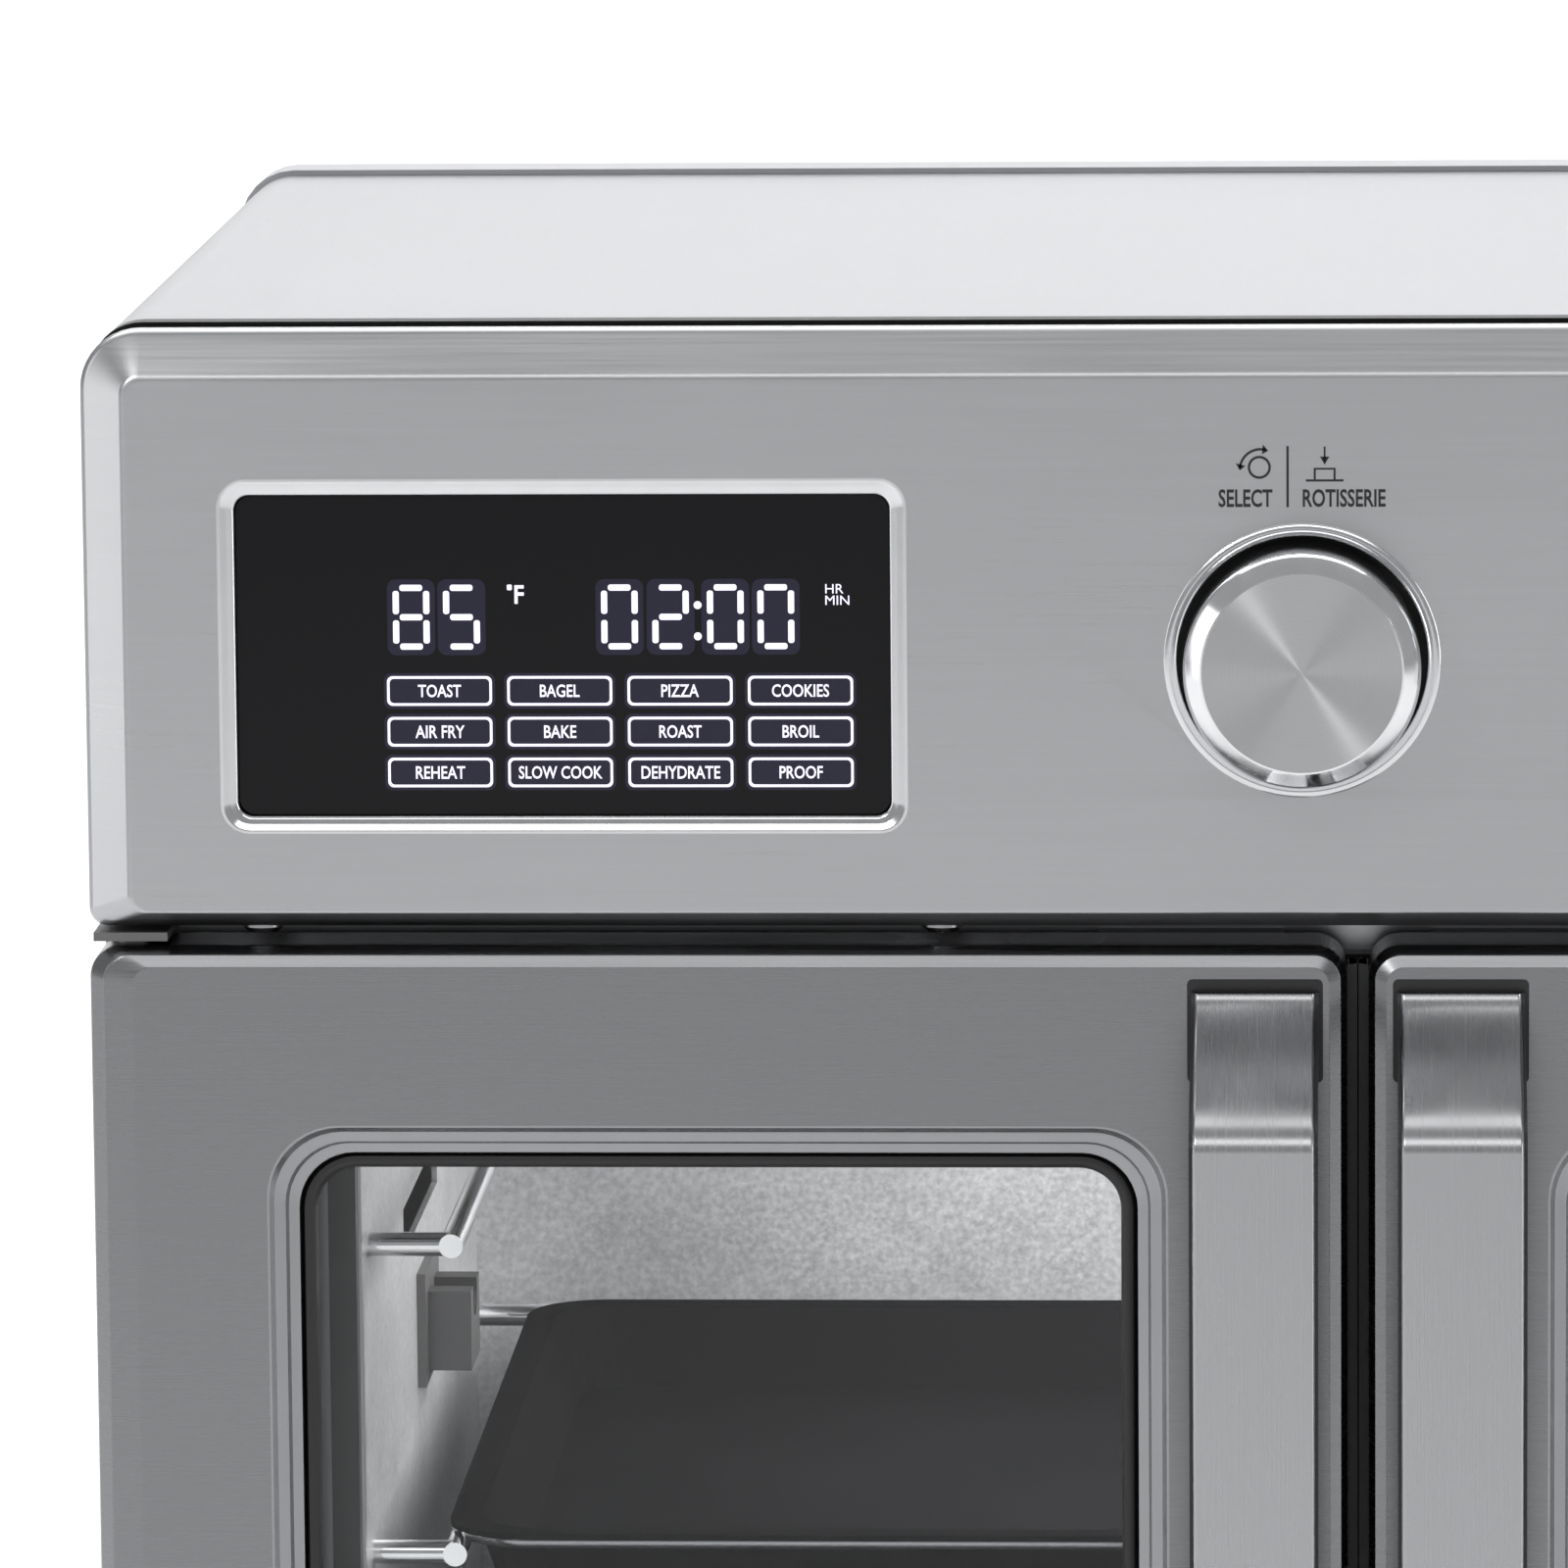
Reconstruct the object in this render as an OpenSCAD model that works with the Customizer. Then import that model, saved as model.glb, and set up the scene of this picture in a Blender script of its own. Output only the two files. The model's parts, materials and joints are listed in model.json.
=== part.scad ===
// Countertop toaster oven with two French doors, a display and three push-and-turn knobs.
// Modelled in millimetres. X runs to the right of a person facing the oven, Y to its rear, Z up.
// The modules are drawn from the front plane, which is the flat face of the doors and the fascia,
// and placed() then moves them so that the origin is under the middle of the whole oven.

/* [Overall] */
// Width over the fascia and the doors
overall_w = 410; // [350:1:500]
// Height from the worktop to the top of the fascia
overall_h = 356; // [310:1:430]
// Depth from the front plane to the rear edge of the cover
body_d = 273; // [240:1:340]
// Height of the feet
foot_h = 14; // [10:0.5:24]
// Radius of the two upper corners of the casing
corner_r = 10; // [6:0.5:14]
// Thickness of the casing sheet
sheet_t = 1; // [0.8:0.1:1.4]
// Thickness of the pressed fronts of the fascia, the doors and the bottom rail
skin_t = 1.2; // [0.8:0.1:1.6]

/* [Control panel] */
// Height of the fascia
fascia_h = 98.5; // [84:0.5:120]
// Depth of the fascia from its flat face to its rear edge
fascia_d = 13.5; // [11:0.5:17]
// How far the flat faces stand ahead of their sloping borders
border_d = 6; // [3:0.5:8]
// Width of the sloping border at the sides of the fascia and the doors
side_border = 7.5; // [5:0.5:9]
// Width of the sloping border along the top of the fascia
top_border = 7; // [4:0.5:10]
// Width of the sloping border along the bottom of the fascia
bottom_border = 2.5; // [1.5:0.5:4]
// Width of the display lens
display_w = 104.8; // [84:0.2:130]
// Height of the display lens
display_h = 51.6; // [40:0.2:64]
// Width of the drawn rim around the lens
display_rim = 3.2; // [2:0.2:5]
// How deep the lens lies behind the flat face
display_recess = 2; // [1:0.2:3]
// Space left of the display rim
panel_margin = 14.6; // [10:0.2:20]
// Space right of the last knob opening
knob_margin = 17; // [10:0.5:20]
// Diameter of a knob
knob_d = 37.8; // [30:0.2:46]
// How far a knob stands out of the fascia
knob_reach = 15; // [11:0.5:22]
// Gap all round between a knob and its opening
knob_gap = 2.3; // [1.6:0.1:3]
// Travel of a pressed knob
knob_push = 1; // [0.5:0.1:1.2]

/* [Doors] */
// Thickness of a door
door_t = 17; // [15:0.5:19]
// Gap between the two doors
door_gap = 3.4; // [2:0.1:5]
// Gap above and below the doors
door_clear = 3; // [2.6:0.1:5]
// Border of the door around its window
window_margin = 28.8; // [24:0.2:36]
// Width of the pressed bezel around the window
bezel_w = 5.4; // [4:0.2:7]
// Depth of the pressed bezel
bezel_d = 5; // [3:0.5:6]
// Thickness of the window glass
glass_t = 4; // [3:0.5:5]
// Width of a handle
handle_w = 20.4; // [15:0.2:21]
// How far a handle stands out of its door
handle_reach = 35; // [28:1:45]
// Thickness of a handle strap
handle_t = 3; // [2:0.5:4]

/* [Cavity] */
// Space between the outside and the cavity at each side
side_space = 42; // [40:1:50]
// Space between the cavity and the rear edge
rear_space = 23; // [18:1:30]
// Height of the rail below the doors
rail_h = 26.4; // [22:0.2:32]
// Width of the baking tray
tray_w = 303; // [250:1:306]
// Depth of the baking tray's hollow
tray_deep = 14; // [10:1:18]
// Diameter of the heating tubes
tube_d = 7; // [5:0.5:9]
// Radius of the convection fan
fan_r = 62; // [50:1:66]
// Reach of the wall spacers behind the rear panel
spacer_reach = 26; // [18:1:40]

/* [Hidden] */
$fn = 48;
arc_steps = 6;
eps = 0.01;
fit = 0.1;
run = 0.05;
slide_gap = 0.5;

// Places in X
half_w = overall_w / 2;
skin_x = half_w - 1;
inner_x = skin_x - sheet_t;
flat_x = half_w - side_border;
door_in_x = door_gap / 2;
cav_x = half_w - side_space;

// Places in Y
frame_y = door_t + 5;
frame_t = 1.5;
cav_y0 = frame_y + frame_t;
cav_y1 = body_d - rear_space;
mid_y = (cav_y0 + cav_y1) / 2;
overall_d = handle_reach + body_d + spacer_reach;
place_y = handle_reach - overall_d / 2;

// Places in Z
fascia_z0 = overall_h - fascia_h;
rail_z1 = foot_h + rail_h;
door_z0 = rail_z1 + door_clear;
door_z1 = fascia_z0 - door_clear;
cav_z0 = foot_h + 16;
cav_z1 = fascia_z0 - 11.6;
panel_z = fascia_z0 + bottom_border + (fascia_h - bottom_border - top_border) / 2 - 2.4;

// Control panel
hole_r = knob_d / 2 + knob_gap;
display_x0 = -flat_x + panel_margin + display_rim;
display_x1 = display_x0 + display_w;
display_z0 = panel_z - display_h / 2;
display_z1 = panel_z + display_h / 2;
knob_x1 = flat_x - knob_margin - hole_r;
knob_pitch = (knob_x1 + hole_r - display_x1 - display_rim) / 3;
knob_z = panel_z - 0.8;
knob_xs = [knob_x1 - 2 * knob_pitch, knob_x1 - knob_pitch, knob_x1];
lens_t = 2;
cup_floor_y = 5.5;
cup_t = 1.5;
board_y = 18;
board_t = 1.6;
shaft_r = 3;
shaft_y1 = 13;
encoder_size = 14;

// Doors and hinges
door_edge = 2.8;
hinge_r = 2.5;
bush_r = 4.8;
bush_l = 11;
hinge_x = half_w - 7;
hinge_y = door_t / 2;
bracket_t = 1.4;
glass_y = bezel_d + skin_t;
glass_lap = 6;
gasket_w = 2.3;
win_x0 = -half_w + window_margin;
win_x1 = -door_in_x - window_margin;
win_z0 = door_z0 + window_margin;
win_z1 = door_z1 - window_margin;
handle_x = -door_in_x - 4.6 - handle_w / 2;
handle_end = 5.6;
handle_rise = 20;

// Cavity fittings
liner_t = 1;
gasket_reach = 5;
rail_r = 2;
rail_x = tray_w / 2 - 2;
rail_gap = 52;
tube_top_z = cav_z1 - 14;
tube_low_z = cav_z0 + 22;
tray_lift = 8;
tray_rim_z = (tube_low_z + tube_top_z) / 2 + tray_lift;
rail_zs = [tray_rim_z - 1 - rail_r - rail_gap, tray_rim_z - 1 - rail_r, tray_rim_z - 1 - rail_r + rail_gap];
tray_y0 = cav_y0 + 14;
tray_y1 = cav_y1 - 14;
tray_draft = 9;
spit_z = tray_rim_z + 21;
crumb_x = cav_x - 15;
crumb_wall = 7;
slot_z1 = cav_z0 + 9;
tube_ys = [cav_y0 + 44, cav_y1 - 44];
guard_r = fan_r + 14;
fan_house_h = 26;
fan_hole_r = fan_r + 8;
roof_top = cav_z1 + liner_t;
motor_z = roof_top + fan_house_h;
shield_z = roof_top + 15;
shield_flange = 10;
lamp_y = cav_y1 - 34;
lamp_z = cav_z1 - 60;
lamp_r = 16;
vent_z = tray_rim_z + 39;

// Fasteners and feet
screw_r = 1.8;
screw_head_r = 3.4;
screw_head_h = 1.4;
foot_r = 15;
foot_x = half_w - 36;
foot_ys = [frame_y + 26, body_d - 34];
spacer_x = half_w - 70;
spacer_z = cav_z1 - 25;
gland_x = half_w - 60;
gland_z = foot_h + 46;
gland_r = 8;
cord_r = 3.75;
screw_inset = 28;
screw_mid_x = 67;
fascia_screw_xs = [-half_w + screw_inset, -screw_mid_x, screw_mid_x, half_w - screw_inset];

// ---------- Shapes that repeat ----------

function arc(c, r, from) = r <= 0 ? [c] :
    [for (i = [0 : arc_steps]) c + r * [cos(from + 90 * i / arc_steps), sin(from + 90 * i / arc_steps)]];

// Rounded rectangle, with one radius for its lower corners and one for its upper corners.
function round_rect(x0, x1, z0, z1, low, high) = concat(
    arc([x1 - low, z0 + low], low, 270), arc([x1 - high, z1 - high], high, 0),
    arc([x0 + high, z1 - high], high, 90), arc([x0 + low, z0 + low], low, 180));

// Upright plate with rounded corners, from y0 to y1.
module plate(x0, x1, z0, z1, y0, y1, low = 0, high = -1) {
    translate([0, y1, 0]) rotate([90, 0, 0]) linear_extrude(y1 - y0)
        polygon(round_rect(x0, x1, z0, z1, low, high < 0 ? low : high));
}

// Level plate with rounded corners, from z0 to z1.
module slab(x0, x1, y0, y1, z0, z1, r = 0) {
    translate([0, 0, z0]) linear_extrude(z1 - z0) polygon(round_rect(x0, x1, y0, y1, r, r));
}

module box(x0, x1, y0, y1, z0, z1) {
    translate([x0, y0, z0]) cube([x1 - x0, y1 - y0, z1 - z0]);
}

module rod_x(x0, x1, y, z, r) {
    translate([x0, y, z]) rotate([0, 90, 0]) cylinder(r = r, h = x1 - x0);
}

module rod_y(x, y0, y1, z, r) {
    translate([x, y0, z]) rotate([-90, 0, 0]) cylinder(r = r, h = y1 - y0);
}

module rod_z(x, y, z0, z1, r) {
    translate([x, y, z0]) cylinder(r = r, h = z1 - z0);
}

module both_sides() {
    children();
    mirror([1, 0, 0]) children();
}

// Pressed front with sloping borders. in pulls every face in by that much, to make the hollow behind.
module pressed_front(x0, x1, z0, z1, left, right, low, high, y1, r_low, r_high, in = 0) {
    hull() {
        plate(x0 + left, x1 - right, z0 + low, z1 - high, in, in + eps, 3 - in);
        plate(x0 + in, x1 - in, z0 + in, z1 - in, border_d + in / 2, y1, r_low - in, r_high - in);
    }
}

module placed() {
    translate([0, place_y, 0]) children();
}

// ---------- Control panel ----------

module fascia_form(in, y1) {
    pressed_front(-half_w, half_w, fascia_z0, overall_h, side_border, side_border, bottom_border, top_border,
        y1, 3, corner_r, in);
}

module control_fascia() {
    color("silver") difference() {
        union() {
            difference() {
                fascia_form(0, fascia_d);
                fascia_form(skin_t, fascia_d + 1);
            }
            plate(display_x0 - display_rim - 1, display_x1 + display_rim + 1, display_z0 - display_rim - 1,
                display_z1 + display_rim + 1, 0.5, display_recess + skin_t, 6);
        }
        plate(display_x0 - display_rim, display_x1 + display_rim, display_z0 - display_rim,
            display_z1 + display_rim, -1, display_recess, 5);
        plate(display_x0 - fit, display_x1 + fit, display_z0 - fit, display_z1 + fit, -1, 10, 2.6);
        for (x = knob_xs) rod_y(x, -1, 5, knob_z, hole_r);
        for (x = fascia_screw_xs) rod_z(x, fascia_d - 4, fascia_z0 - 1, fascia_z0 + 3, screw_r + 0.2);
    }
}

module display_lens() {
    color([0.03, 0.03, 0.035])
        plate(display_x0, display_x1, display_z0, display_z1, display_recess,
            display_recess + lens_t, 2.5);
}

module display_module() {
    color("white") plate(display_x0 + 5, display_x1 - 5, display_z0 + 4, display_z1 - 4,
        display_recess + lens_t, board_y, 1);
}

module control_board() {
    color("darkgreen") union() {
        plate(display_x0, knob_x1 + encoder_size, panel_z - 33, panel_z + 33, board_y, board_y + board_t, 2);
        for (x = [display_x0 + 8, 0, knob_x1 + encoder_size - 8], z = [panel_z - 28, panel_z + 28])
            rod_y(x, board_y + board_t, frame_y, z, 3);
    }
}

module knob_cups() {
    color([0.04, 0.04, 0.04]) for (x = knob_xs) difference() {
        union() {
            rod_y(x, 0.4, cup_floor_y + cup_t, knob_z, hole_r - fit);
            rod_y(x, skin_t, skin_t + 1.2, knob_z, hole_r + 3);
        }
        rod_y(x, 0, cup_floor_y, knob_z, hole_r - fit - 1);
        rod_y(x, 0, 10, knob_z, 4.8);
    }
}

module encoder_bodies() {
    half = encoder_size / 2;
    color("gray") for (x = knob_xs) difference() {
        union() {
            plate(x - half, x + half, knob_z - half, knob_z + half, cup_floor_y + cup_t, board_y, 1);
            rod_y(x, cup_floor_y - 0.5, cup_floor_y + cup_t + 1, knob_z, 4.5);
        }
        rod_y(x, 0, shaft_y1 + knob_push + 1.5, knob_z, shaft_r + run);
    }
}

// The shaft slides in the encoder, and the knob turns on it.
module control_shaft(x) {
    color("lightgray") rod_y(x, -knob_reach + 6, shaft_y1, knob_z, shaft_r);
}

module knob(x) {
    knob_r = knob_d / 2;
    back_y = cup_floor_y - knob_push - 1.5;
    color("silver") translate([x, 0, knob_z]) rotate([-90, 0, 0]) rotate_extrude() polygon([
        [shaft_r + run, back_y], [7, back_y], [7, -knob_reach + 4], [knob_r - 1.6, -knob_reach + 4],
        [knob_r - 1.6, back_y], [knob_r, back_y], [knob_r, -knob_reach + 2], [knob_r - 2.4, -knob_reach],
        [0, -knob_reach], [0, -knob_reach + 5.8], [shaft_r + run, -knob_reach + 5.8]]);
}

// ---------- Casing ----------

module cabinet_wrap() {
    wrap_y1 = body_d - sheet_t;
    flange_z0 = overall_h - 24;
    color("silver") difference() {
        plate(-skin_x, skin_x, foot_h, overall_h - 1, fascia_d + 1, wrap_y1, 0, corner_r - 1);
        difference() {
            plate(-inner_x, inner_x, foot_h - 1, overall_h - 1 - sheet_t, 0, body_d + 1, 0,
                corner_r - 1 - sheet_t);
            box(-half_w, half_w, wrap_y1 - sheet_t, wrap_y1, flange_z0, overall_h);
        }
        for (p = rear_screw_places()) rod_y(p.x, wrap_y1 - 5, wrap_y1 + 1, p.y, screw_r + run);
        box(-half_w, half_w, 0, frame_y, 0, fascia_z0);
        both_sides() for (i = [0 : 7])
            box(inner_x - 1, half_w, body_d - 110, body_d - 60, overall_h - 60 - 9 * i, overall_h - 56 - 9 * i);
    }
}

module rear_panel() {
    color("silver") difference() {
        plate(-half_w, half_w, foot_h, overall_h, body_d - 12, body_d, 0, corner_r);
        plate(-skin_x - run, skin_x + run, foot_h - 1, overall_h - 1 + run, 0, body_d - sheet_t, 0, corner_r - 1);
        for (i = [0 : 6], x = [-90, -30, 30, 90])
            box(x - 22, x + 22, body_d - 2, body_d + 1, overall_h - 56 - 11 * i, overall_h - 51 - 11 * i);
        for (i = [0 : 3], x = [-90, -30, 30])
            box(x - 22, x + 22, body_d - 2, body_d + 1, foot_h + 30 + 11 * i, foot_h + 35 + 11 * i);
        rod_y(gland_x, body_d - 3, body_d + 1, gland_z, gland_r);
        for (p = rear_screw_places()) rod_y(p.x, body_d - 3, body_d + 1, p.y, screw_r + 0.2);
    }
}

function rear_screw_places() = [for (x = [-half_w + 16, 0, half_w - 16], z = [foot_h + 6, overall_h - 14]) [x, z]];

module base_pan() {
    pan_x = inner_x - fit;
    color("lightgray") difference() {
        box(-pan_x, pan_x, cav_y0, body_d - sheet_t, foot_h, foot_h + 10);
        box(-pan_x + sheet_t, pan_x - sheet_t, 0, body_d - 2 * sheet_t, foot_h + sheet_t, foot_h + 20);
        for (p = rear_screw_places()) rod_y(p.x, body_d - 10, body_d, p.y, screw_r + run);
        for (x = [-foot_x, foot_x], y = foot_ys) rod_z(x, y, foot_h - 1, foot_h + 3, screw_r + 0.2);
    }
}

module bottom_rail() {
    rail_y1 = frame_y;
    color("silver") difference() {
        pressed_front(-half_w, half_w, foot_h, rail_z1, side_border, side_border, 1, 1, rail_y1, 1.5, 1.5);
        pressed_front(-half_w, half_w, foot_h, rail_z1, side_border, side_border, 1, 1, rail_y1 + 1, 1.5, 1.5,
            skin_t);
        box(-cav_x + 10, cav_x - 10, -1, frame_y, foot_h + 11, rail_z1 + 1);
    }
}

module front_frame() {
    frame_x = inner_x - fit;
    tab_z = fascia_z0 + skin_t;
    color("silver") difference() {
        union() {
            plate(-frame_x, frame_x, foot_h, overall_h - 1 - sheet_t - fit, frame_y, cav_y0, 0, corner_r - 2);
            for (x = fascia_screw_xs) box(x - 8, x + 8, fascia_d - 6, cav_y0, tab_z, tab_z + frame_t);
        }
        for (x = fascia_screw_xs) rod_z(x, fascia_d - 4, tab_z - 1, tab_z + 5, screw_r + run);
        plate(-cav_x, cav_x, slot_z1 + 7, cav_z1, frame_y - 1, cav_y0 + 1, 6);
        box(-crumb_x - 1.5, crumb_x + 1.5, frame_y - 1, cav_y0 + 1, cav_z0, slot_z1);
        both_sides() box(40, cav_x - 20, frame_y - 1, cav_y0 + 1, panel_z + 8, panel_z + 26);
    }
}

module feet() {
    color([0.06, 0.06, 0.06]) for (x = [-foot_x, foot_x], y = foot_ys) difference() {
        translate([x, y, 0]) rotate_extrude() polygon([[0, 0], [foot_r - 2, 0], [foot_r, foot_h], [0, foot_h]]);
        rod_z(x, y, -1, foot_h - 4, 5);
        rod_z(x, y, 0, foot_h + 1, screw_r + 0.2);
    }
}

module screw(length) {
    translate([0, 0, -screw_head_h]) rotate_extrude() polygon([[0, 0], [screw_head_r - 0.8, 0],
        [screw_head_r, 0.9], [screw_head_r, screw_head_h], [screw_r, screw_head_h],
        [screw_r, screw_head_h + length], [0, screw_head_h + length]]);
}

module screws() {
    color("gainsboro") {
        for (x = fascia_screw_xs) translate([x, fascia_d - 4, fascia_z0]) screw(6);
        for (x = [-foot_x, foot_x], y = foot_ys) translate([x, y, foot_h - 4]) screw(8);
        for (p = rear_screw_places()) translate([p.x, body_d, p.y]) rotate([90, 0, 0]) screw(5);
    }
}

module cord_gland() {
    color([0.05, 0.05, 0.05]) difference() {
        union() {
            rod_y(gland_x, body_d - 8, body_d + 8, gland_z, gland_r - fit);
            rod_y(gland_x, body_d, body_d + 3, gland_z, gland_r + 3);
            rod_y(gland_x, body_d - 5, body_d - sheet_t - 0.2, gland_z, gland_r + 2);
        }
        rod_y(gland_x, body_d - 9, body_d + 9, gland_z, cord_r);
    }
}

module rear_spacers() {
    color([0.06, 0.06, 0.06]) both_sides() difference() {
        union() {
            plate(spacer_x - 14, spacer_x + 14, spacer_z - 22, spacer_z + 22, body_d, body_d + 4, 5);
            plate(spacer_x - 8, spacer_x + 8, spacer_z - 16, spacer_z + 16, body_d + 3, body_d + spacer_reach, 5);
        }
        plate(spacer_x - 5.5, spacer_x + 5.5, spacer_z - 13.5, spacer_z + 13.5, body_d - 1,
            body_d + spacer_reach - 3, 3);
    }
}

// ---------- Cavity ----------

module cavity_liner() {
    out_x = cav_x + liner_t;
    color("lightgray") difference() {
        box(-out_x, out_x, cav_y0, cav_y1, cav_z0 - liner_t, roof_top);
        box(-cav_x, cav_x, cav_y0 - 1, cav_y1 + 1, cav_z0, cav_z1);
        rod_z(0, mid_y, cav_z1 - 1, roof_top + 1, fan_hole_r);
        rod_x(cav_x - 1, out_x + 1, mid_y, spit_z, 5);
        rod_x(cav_x - 1, out_x + 1, lamp_y, lamp_z, lamp_r);
        box(-out_x - 1, -cav_x + 1, mid_y - 38, mid_y + 30, vent_z - 4, vent_z + 4);
        both_sides() for (y = tube_ys, z = [tube_low_z, tube_top_z])
            rod_x(cav_x - 1, out_x + 1, y, z, tube_d / 2 + 1.5);
    }
}

module cavity_back() {
    color("darkgray") difference() {
        box(-cav_x - liner_t, cav_x + liner_t, cav_y1, cav_y1 + liner_t, cav_z0 - liner_t, roof_top);
        rod_y(cav_x - 40, cav_y1 - 1, cav_y1 + 2, cav_z1 - 24, 2.6);
    }
}

module cavity_gasket() {
    gasket_y0 = door_t + slide_gap;
    color([0.1, 0.1, 0.1]) difference() {
        plate(-cav_x - 5, cav_x + 5, slot_z1 + 4.5, cav_z1 + gasket_reach, gasket_y0, frame_y, 10);
        plate(-cav_x - 0.5, cav_x + 0.5, slot_z1 + 7.5, cav_z1 - 0.5, gasket_y0 - 1, frame_y + 1, 6);
    }
}

module side_rail(z) {
    rod_y(rail_x, tray_y0 - rail_r, tray_y1 + rail_r, z, rail_r);
    for (y = [tray_y0, tray_y1]) rod_x(rail_x, cav_x, y, z, rail_r);
}

module side_rails() {
    color("gainsboro") both_sides() for (z = rail_zs) side_rail(z);
}

module wire_rack() {
    wire_r = 1.4;
    frame_r = 2.2;
    z = rail_zs[0] + rail_r + frame_r;
    x = rail_x;
    color("gainsboro") union() {
        for (y = [tray_y0 + 4, tray_y1 - 4]) rod_x(-x - 1, x + 1, y, z, frame_r - 0.2);
        for (s = [-x, x]) rod_y(s, tray_y0, tray_y1, z, frame_r);
        for (i = [1 : 13]) rod_y(-x + i * x / 7, tray_y0 + 3, tray_y1 - 3, z + 1.2, wire_r);
    }
}

module tray_form(in) {
    rim = tray_w / 2 - 4;
    low = tray_draft - 4;
    hull() {
        slab(-rim + in, rim - in, tray_y0 + 4 + in, tray_y1 - 4 - in, tray_rim_z - 0.5, tray_rim_z + in, 12);
        slab(-rim + low + in, rim - low - in, tray_y0 + 4 + low + in, tray_y1 - 4 - low - in,
            tray_rim_z - tray_deep - 1 + in, tray_rim_z - tray_deep + in, 9);
    }
}

module baking_tray() {
    color([0.06, 0.06, 0.06]) difference() {
        union() {
            tray_form(0);
            slab(-tray_w / 2, tray_w / 2, tray_y0, tray_y1, tray_rim_z - 1, tray_rim_z, 14);
        }
        tray_form(1);
    }
}

module heating_elements() {
    color("dimgray") for (y = tube_ys, z = [tube_low_z, tube_top_z])
        rod_x(-cav_x - 12, cav_x + 12, y, z, tube_d / 2);
}

module element_insulators() {
    color("ivory") both_sides() for (y = tube_ys, z = [tube_low_z, tube_top_z]) difference() {
        union() {
            rod_x(cav_x + liner_t, cav_x + 11, y, z, tube_d / 2 + 4);
            rod_x(cav_x - 1, cav_x + liner_t + 1, y, z, tube_d / 2 + 1.3);
        }
        rod_x(cav_x - 5, cav_x + 20, y, z, tube_d / 2 + run);
    }
}

module fan_guard() {
    color("lightgray") difference() {
        rod_z(0, mid_y, cav_z1 - 4, cav_z1, guard_r);
        rod_z(0, mid_y, cav_z1 - 3, cav_z1 + 1, guard_r - 1);
        for (a = [0 : 15]) translate([0, mid_y, 0]) rotate([0, 0, a * 22.5])
            box(16, guard_r * 0.78, -3, 3, cav_z1 - 5, cav_z1 - 2);
    }
}

module fan_housing() {
    color("lightgray") difference() {
        union() {
            rod_z(0, mid_y, roof_top, motor_z, fan_hole_r + 3);
            rod_z(0, mid_y, roof_top, roof_top + 1.2, fan_hole_r + 10);
        }
        rod_z(0, mid_y, roof_top - 1, motor_z - 1.2, fan_hole_r + 1.8);
        rod_z(0, mid_y, roof_top, motor_z + 1, 6);
    }
}

module fan_wheel() {
    hub_z = roof_top + 6;
    color("silver") difference() {
        translate([0, mid_y, 0]) union() {
            translate([0, 0, hub_z]) cylinder(r = 9, h = 14);
            translate([0, 0, hub_z + 12]) cylinder(r = fan_r, h = 1.2);
            for (a = [0 : 9]) rotate([0, 0, 36 * a]) box(7, fan_r - 4, -0.6, 0.6, hub_z + 1, hub_z + 12.5);
        }
        rod_z(0, mid_y, hub_z - 1, hub_z + 20, 3);
    }
}

module fan_shaft() {
    color("gray") rod_z(0, mid_y, roof_top + 4, motor_z + 44, 3);
}

module fan_motor() {
    color("slategray") difference() {
        union() {
            rod_z(0, mid_y, motor_z, motor_z + 10, 22);
            box(-32, 32, mid_y - 32, mid_y + 32, motor_z + 9, motor_z + 29);
            rod_z(0, mid_y, motor_z + 28, motor_z + 38, 19);
        }
        rod_z(0, mid_y, motor_z - 1, motor_z + 50, 3 + run);
    }
}

module rotisserie_motor() {
    x = cav_x + liner_t;
    color("slategray") difference() {
        union() {
            for (z = [-17, 17]) rod_x(x, x + 5, mid_y, spit_z + z, 3);
            rod_x(x + 4, x + 18, mid_y, spit_z, 25);
            rod_x(x + 17, x + 32, mid_y, spit_z, 18);
        }
        rod_x(x, x + 16, mid_y, spit_z, 3.5 + run);
    }
}

module rotisserie_socket() {
    color([0.1, 0.1, 0.1]) difference() {
        union() {
            rod_x(cav_x - 12, cav_x - 1, mid_y, spit_z, 8);
            rod_x(cav_x - 2, cav_x + 14, mid_y, spit_z, 3.5);
        }
        box(cav_x - 13, cav_x - 4, mid_y - 3.2, mid_y + 3.2, spit_z - 3.2, spit_z + 3.2);
    }
}

module spit_rest() {
    color("silver") difference() {
        union() {
            box(-cav_x, -cav_x + 1.5, mid_y - 14, mid_y + 14, spit_z - 14, spit_z + 6);
            box(-cav_x, -cav_x + 9, mid_y - 9, mid_y + 9, spit_z - 12, spit_z + 2);
        }
        rod_x(-cav_x + 1.5, -cav_x + 12, mid_y, spit_z, 4);
        box(-cav_x + 1.5, -cav_x + 12, mid_y - 4, mid_y + 4, spit_z, spit_z + 12);
    }
}

module lamp_housing() {
    x = cav_x + liner_t;
    color("lightgray") difference() {
        rod_x(x, x + 30, lamp_y, lamp_z, lamp_r + 5);
        rod_x(x - 1, x + 28, lamp_y, lamp_z, lamp_r + 3);
    }
}

module lamp_lens() {
    color([0.9, 0.9, 0.85, 0.5]) union() {
        rod_x(cav_x - 3, cav_x, lamp_y, lamp_z, lamp_r + 2);
        rod_x(cav_x - 1, cav_x + 8, lamp_y, lamp_z, lamp_r - fit);
    }
}

module temperature_probe() {
    color("silver") union() {
        rod_y(cav_x - 40, cav_y1 - 40, cav_y1 + 10, cav_z1 - 24, 2.4);
        rod_y(cav_x - 40, cav_y1 - 3, cav_y1, cav_z1 - 24, 5);
    }
}

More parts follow.
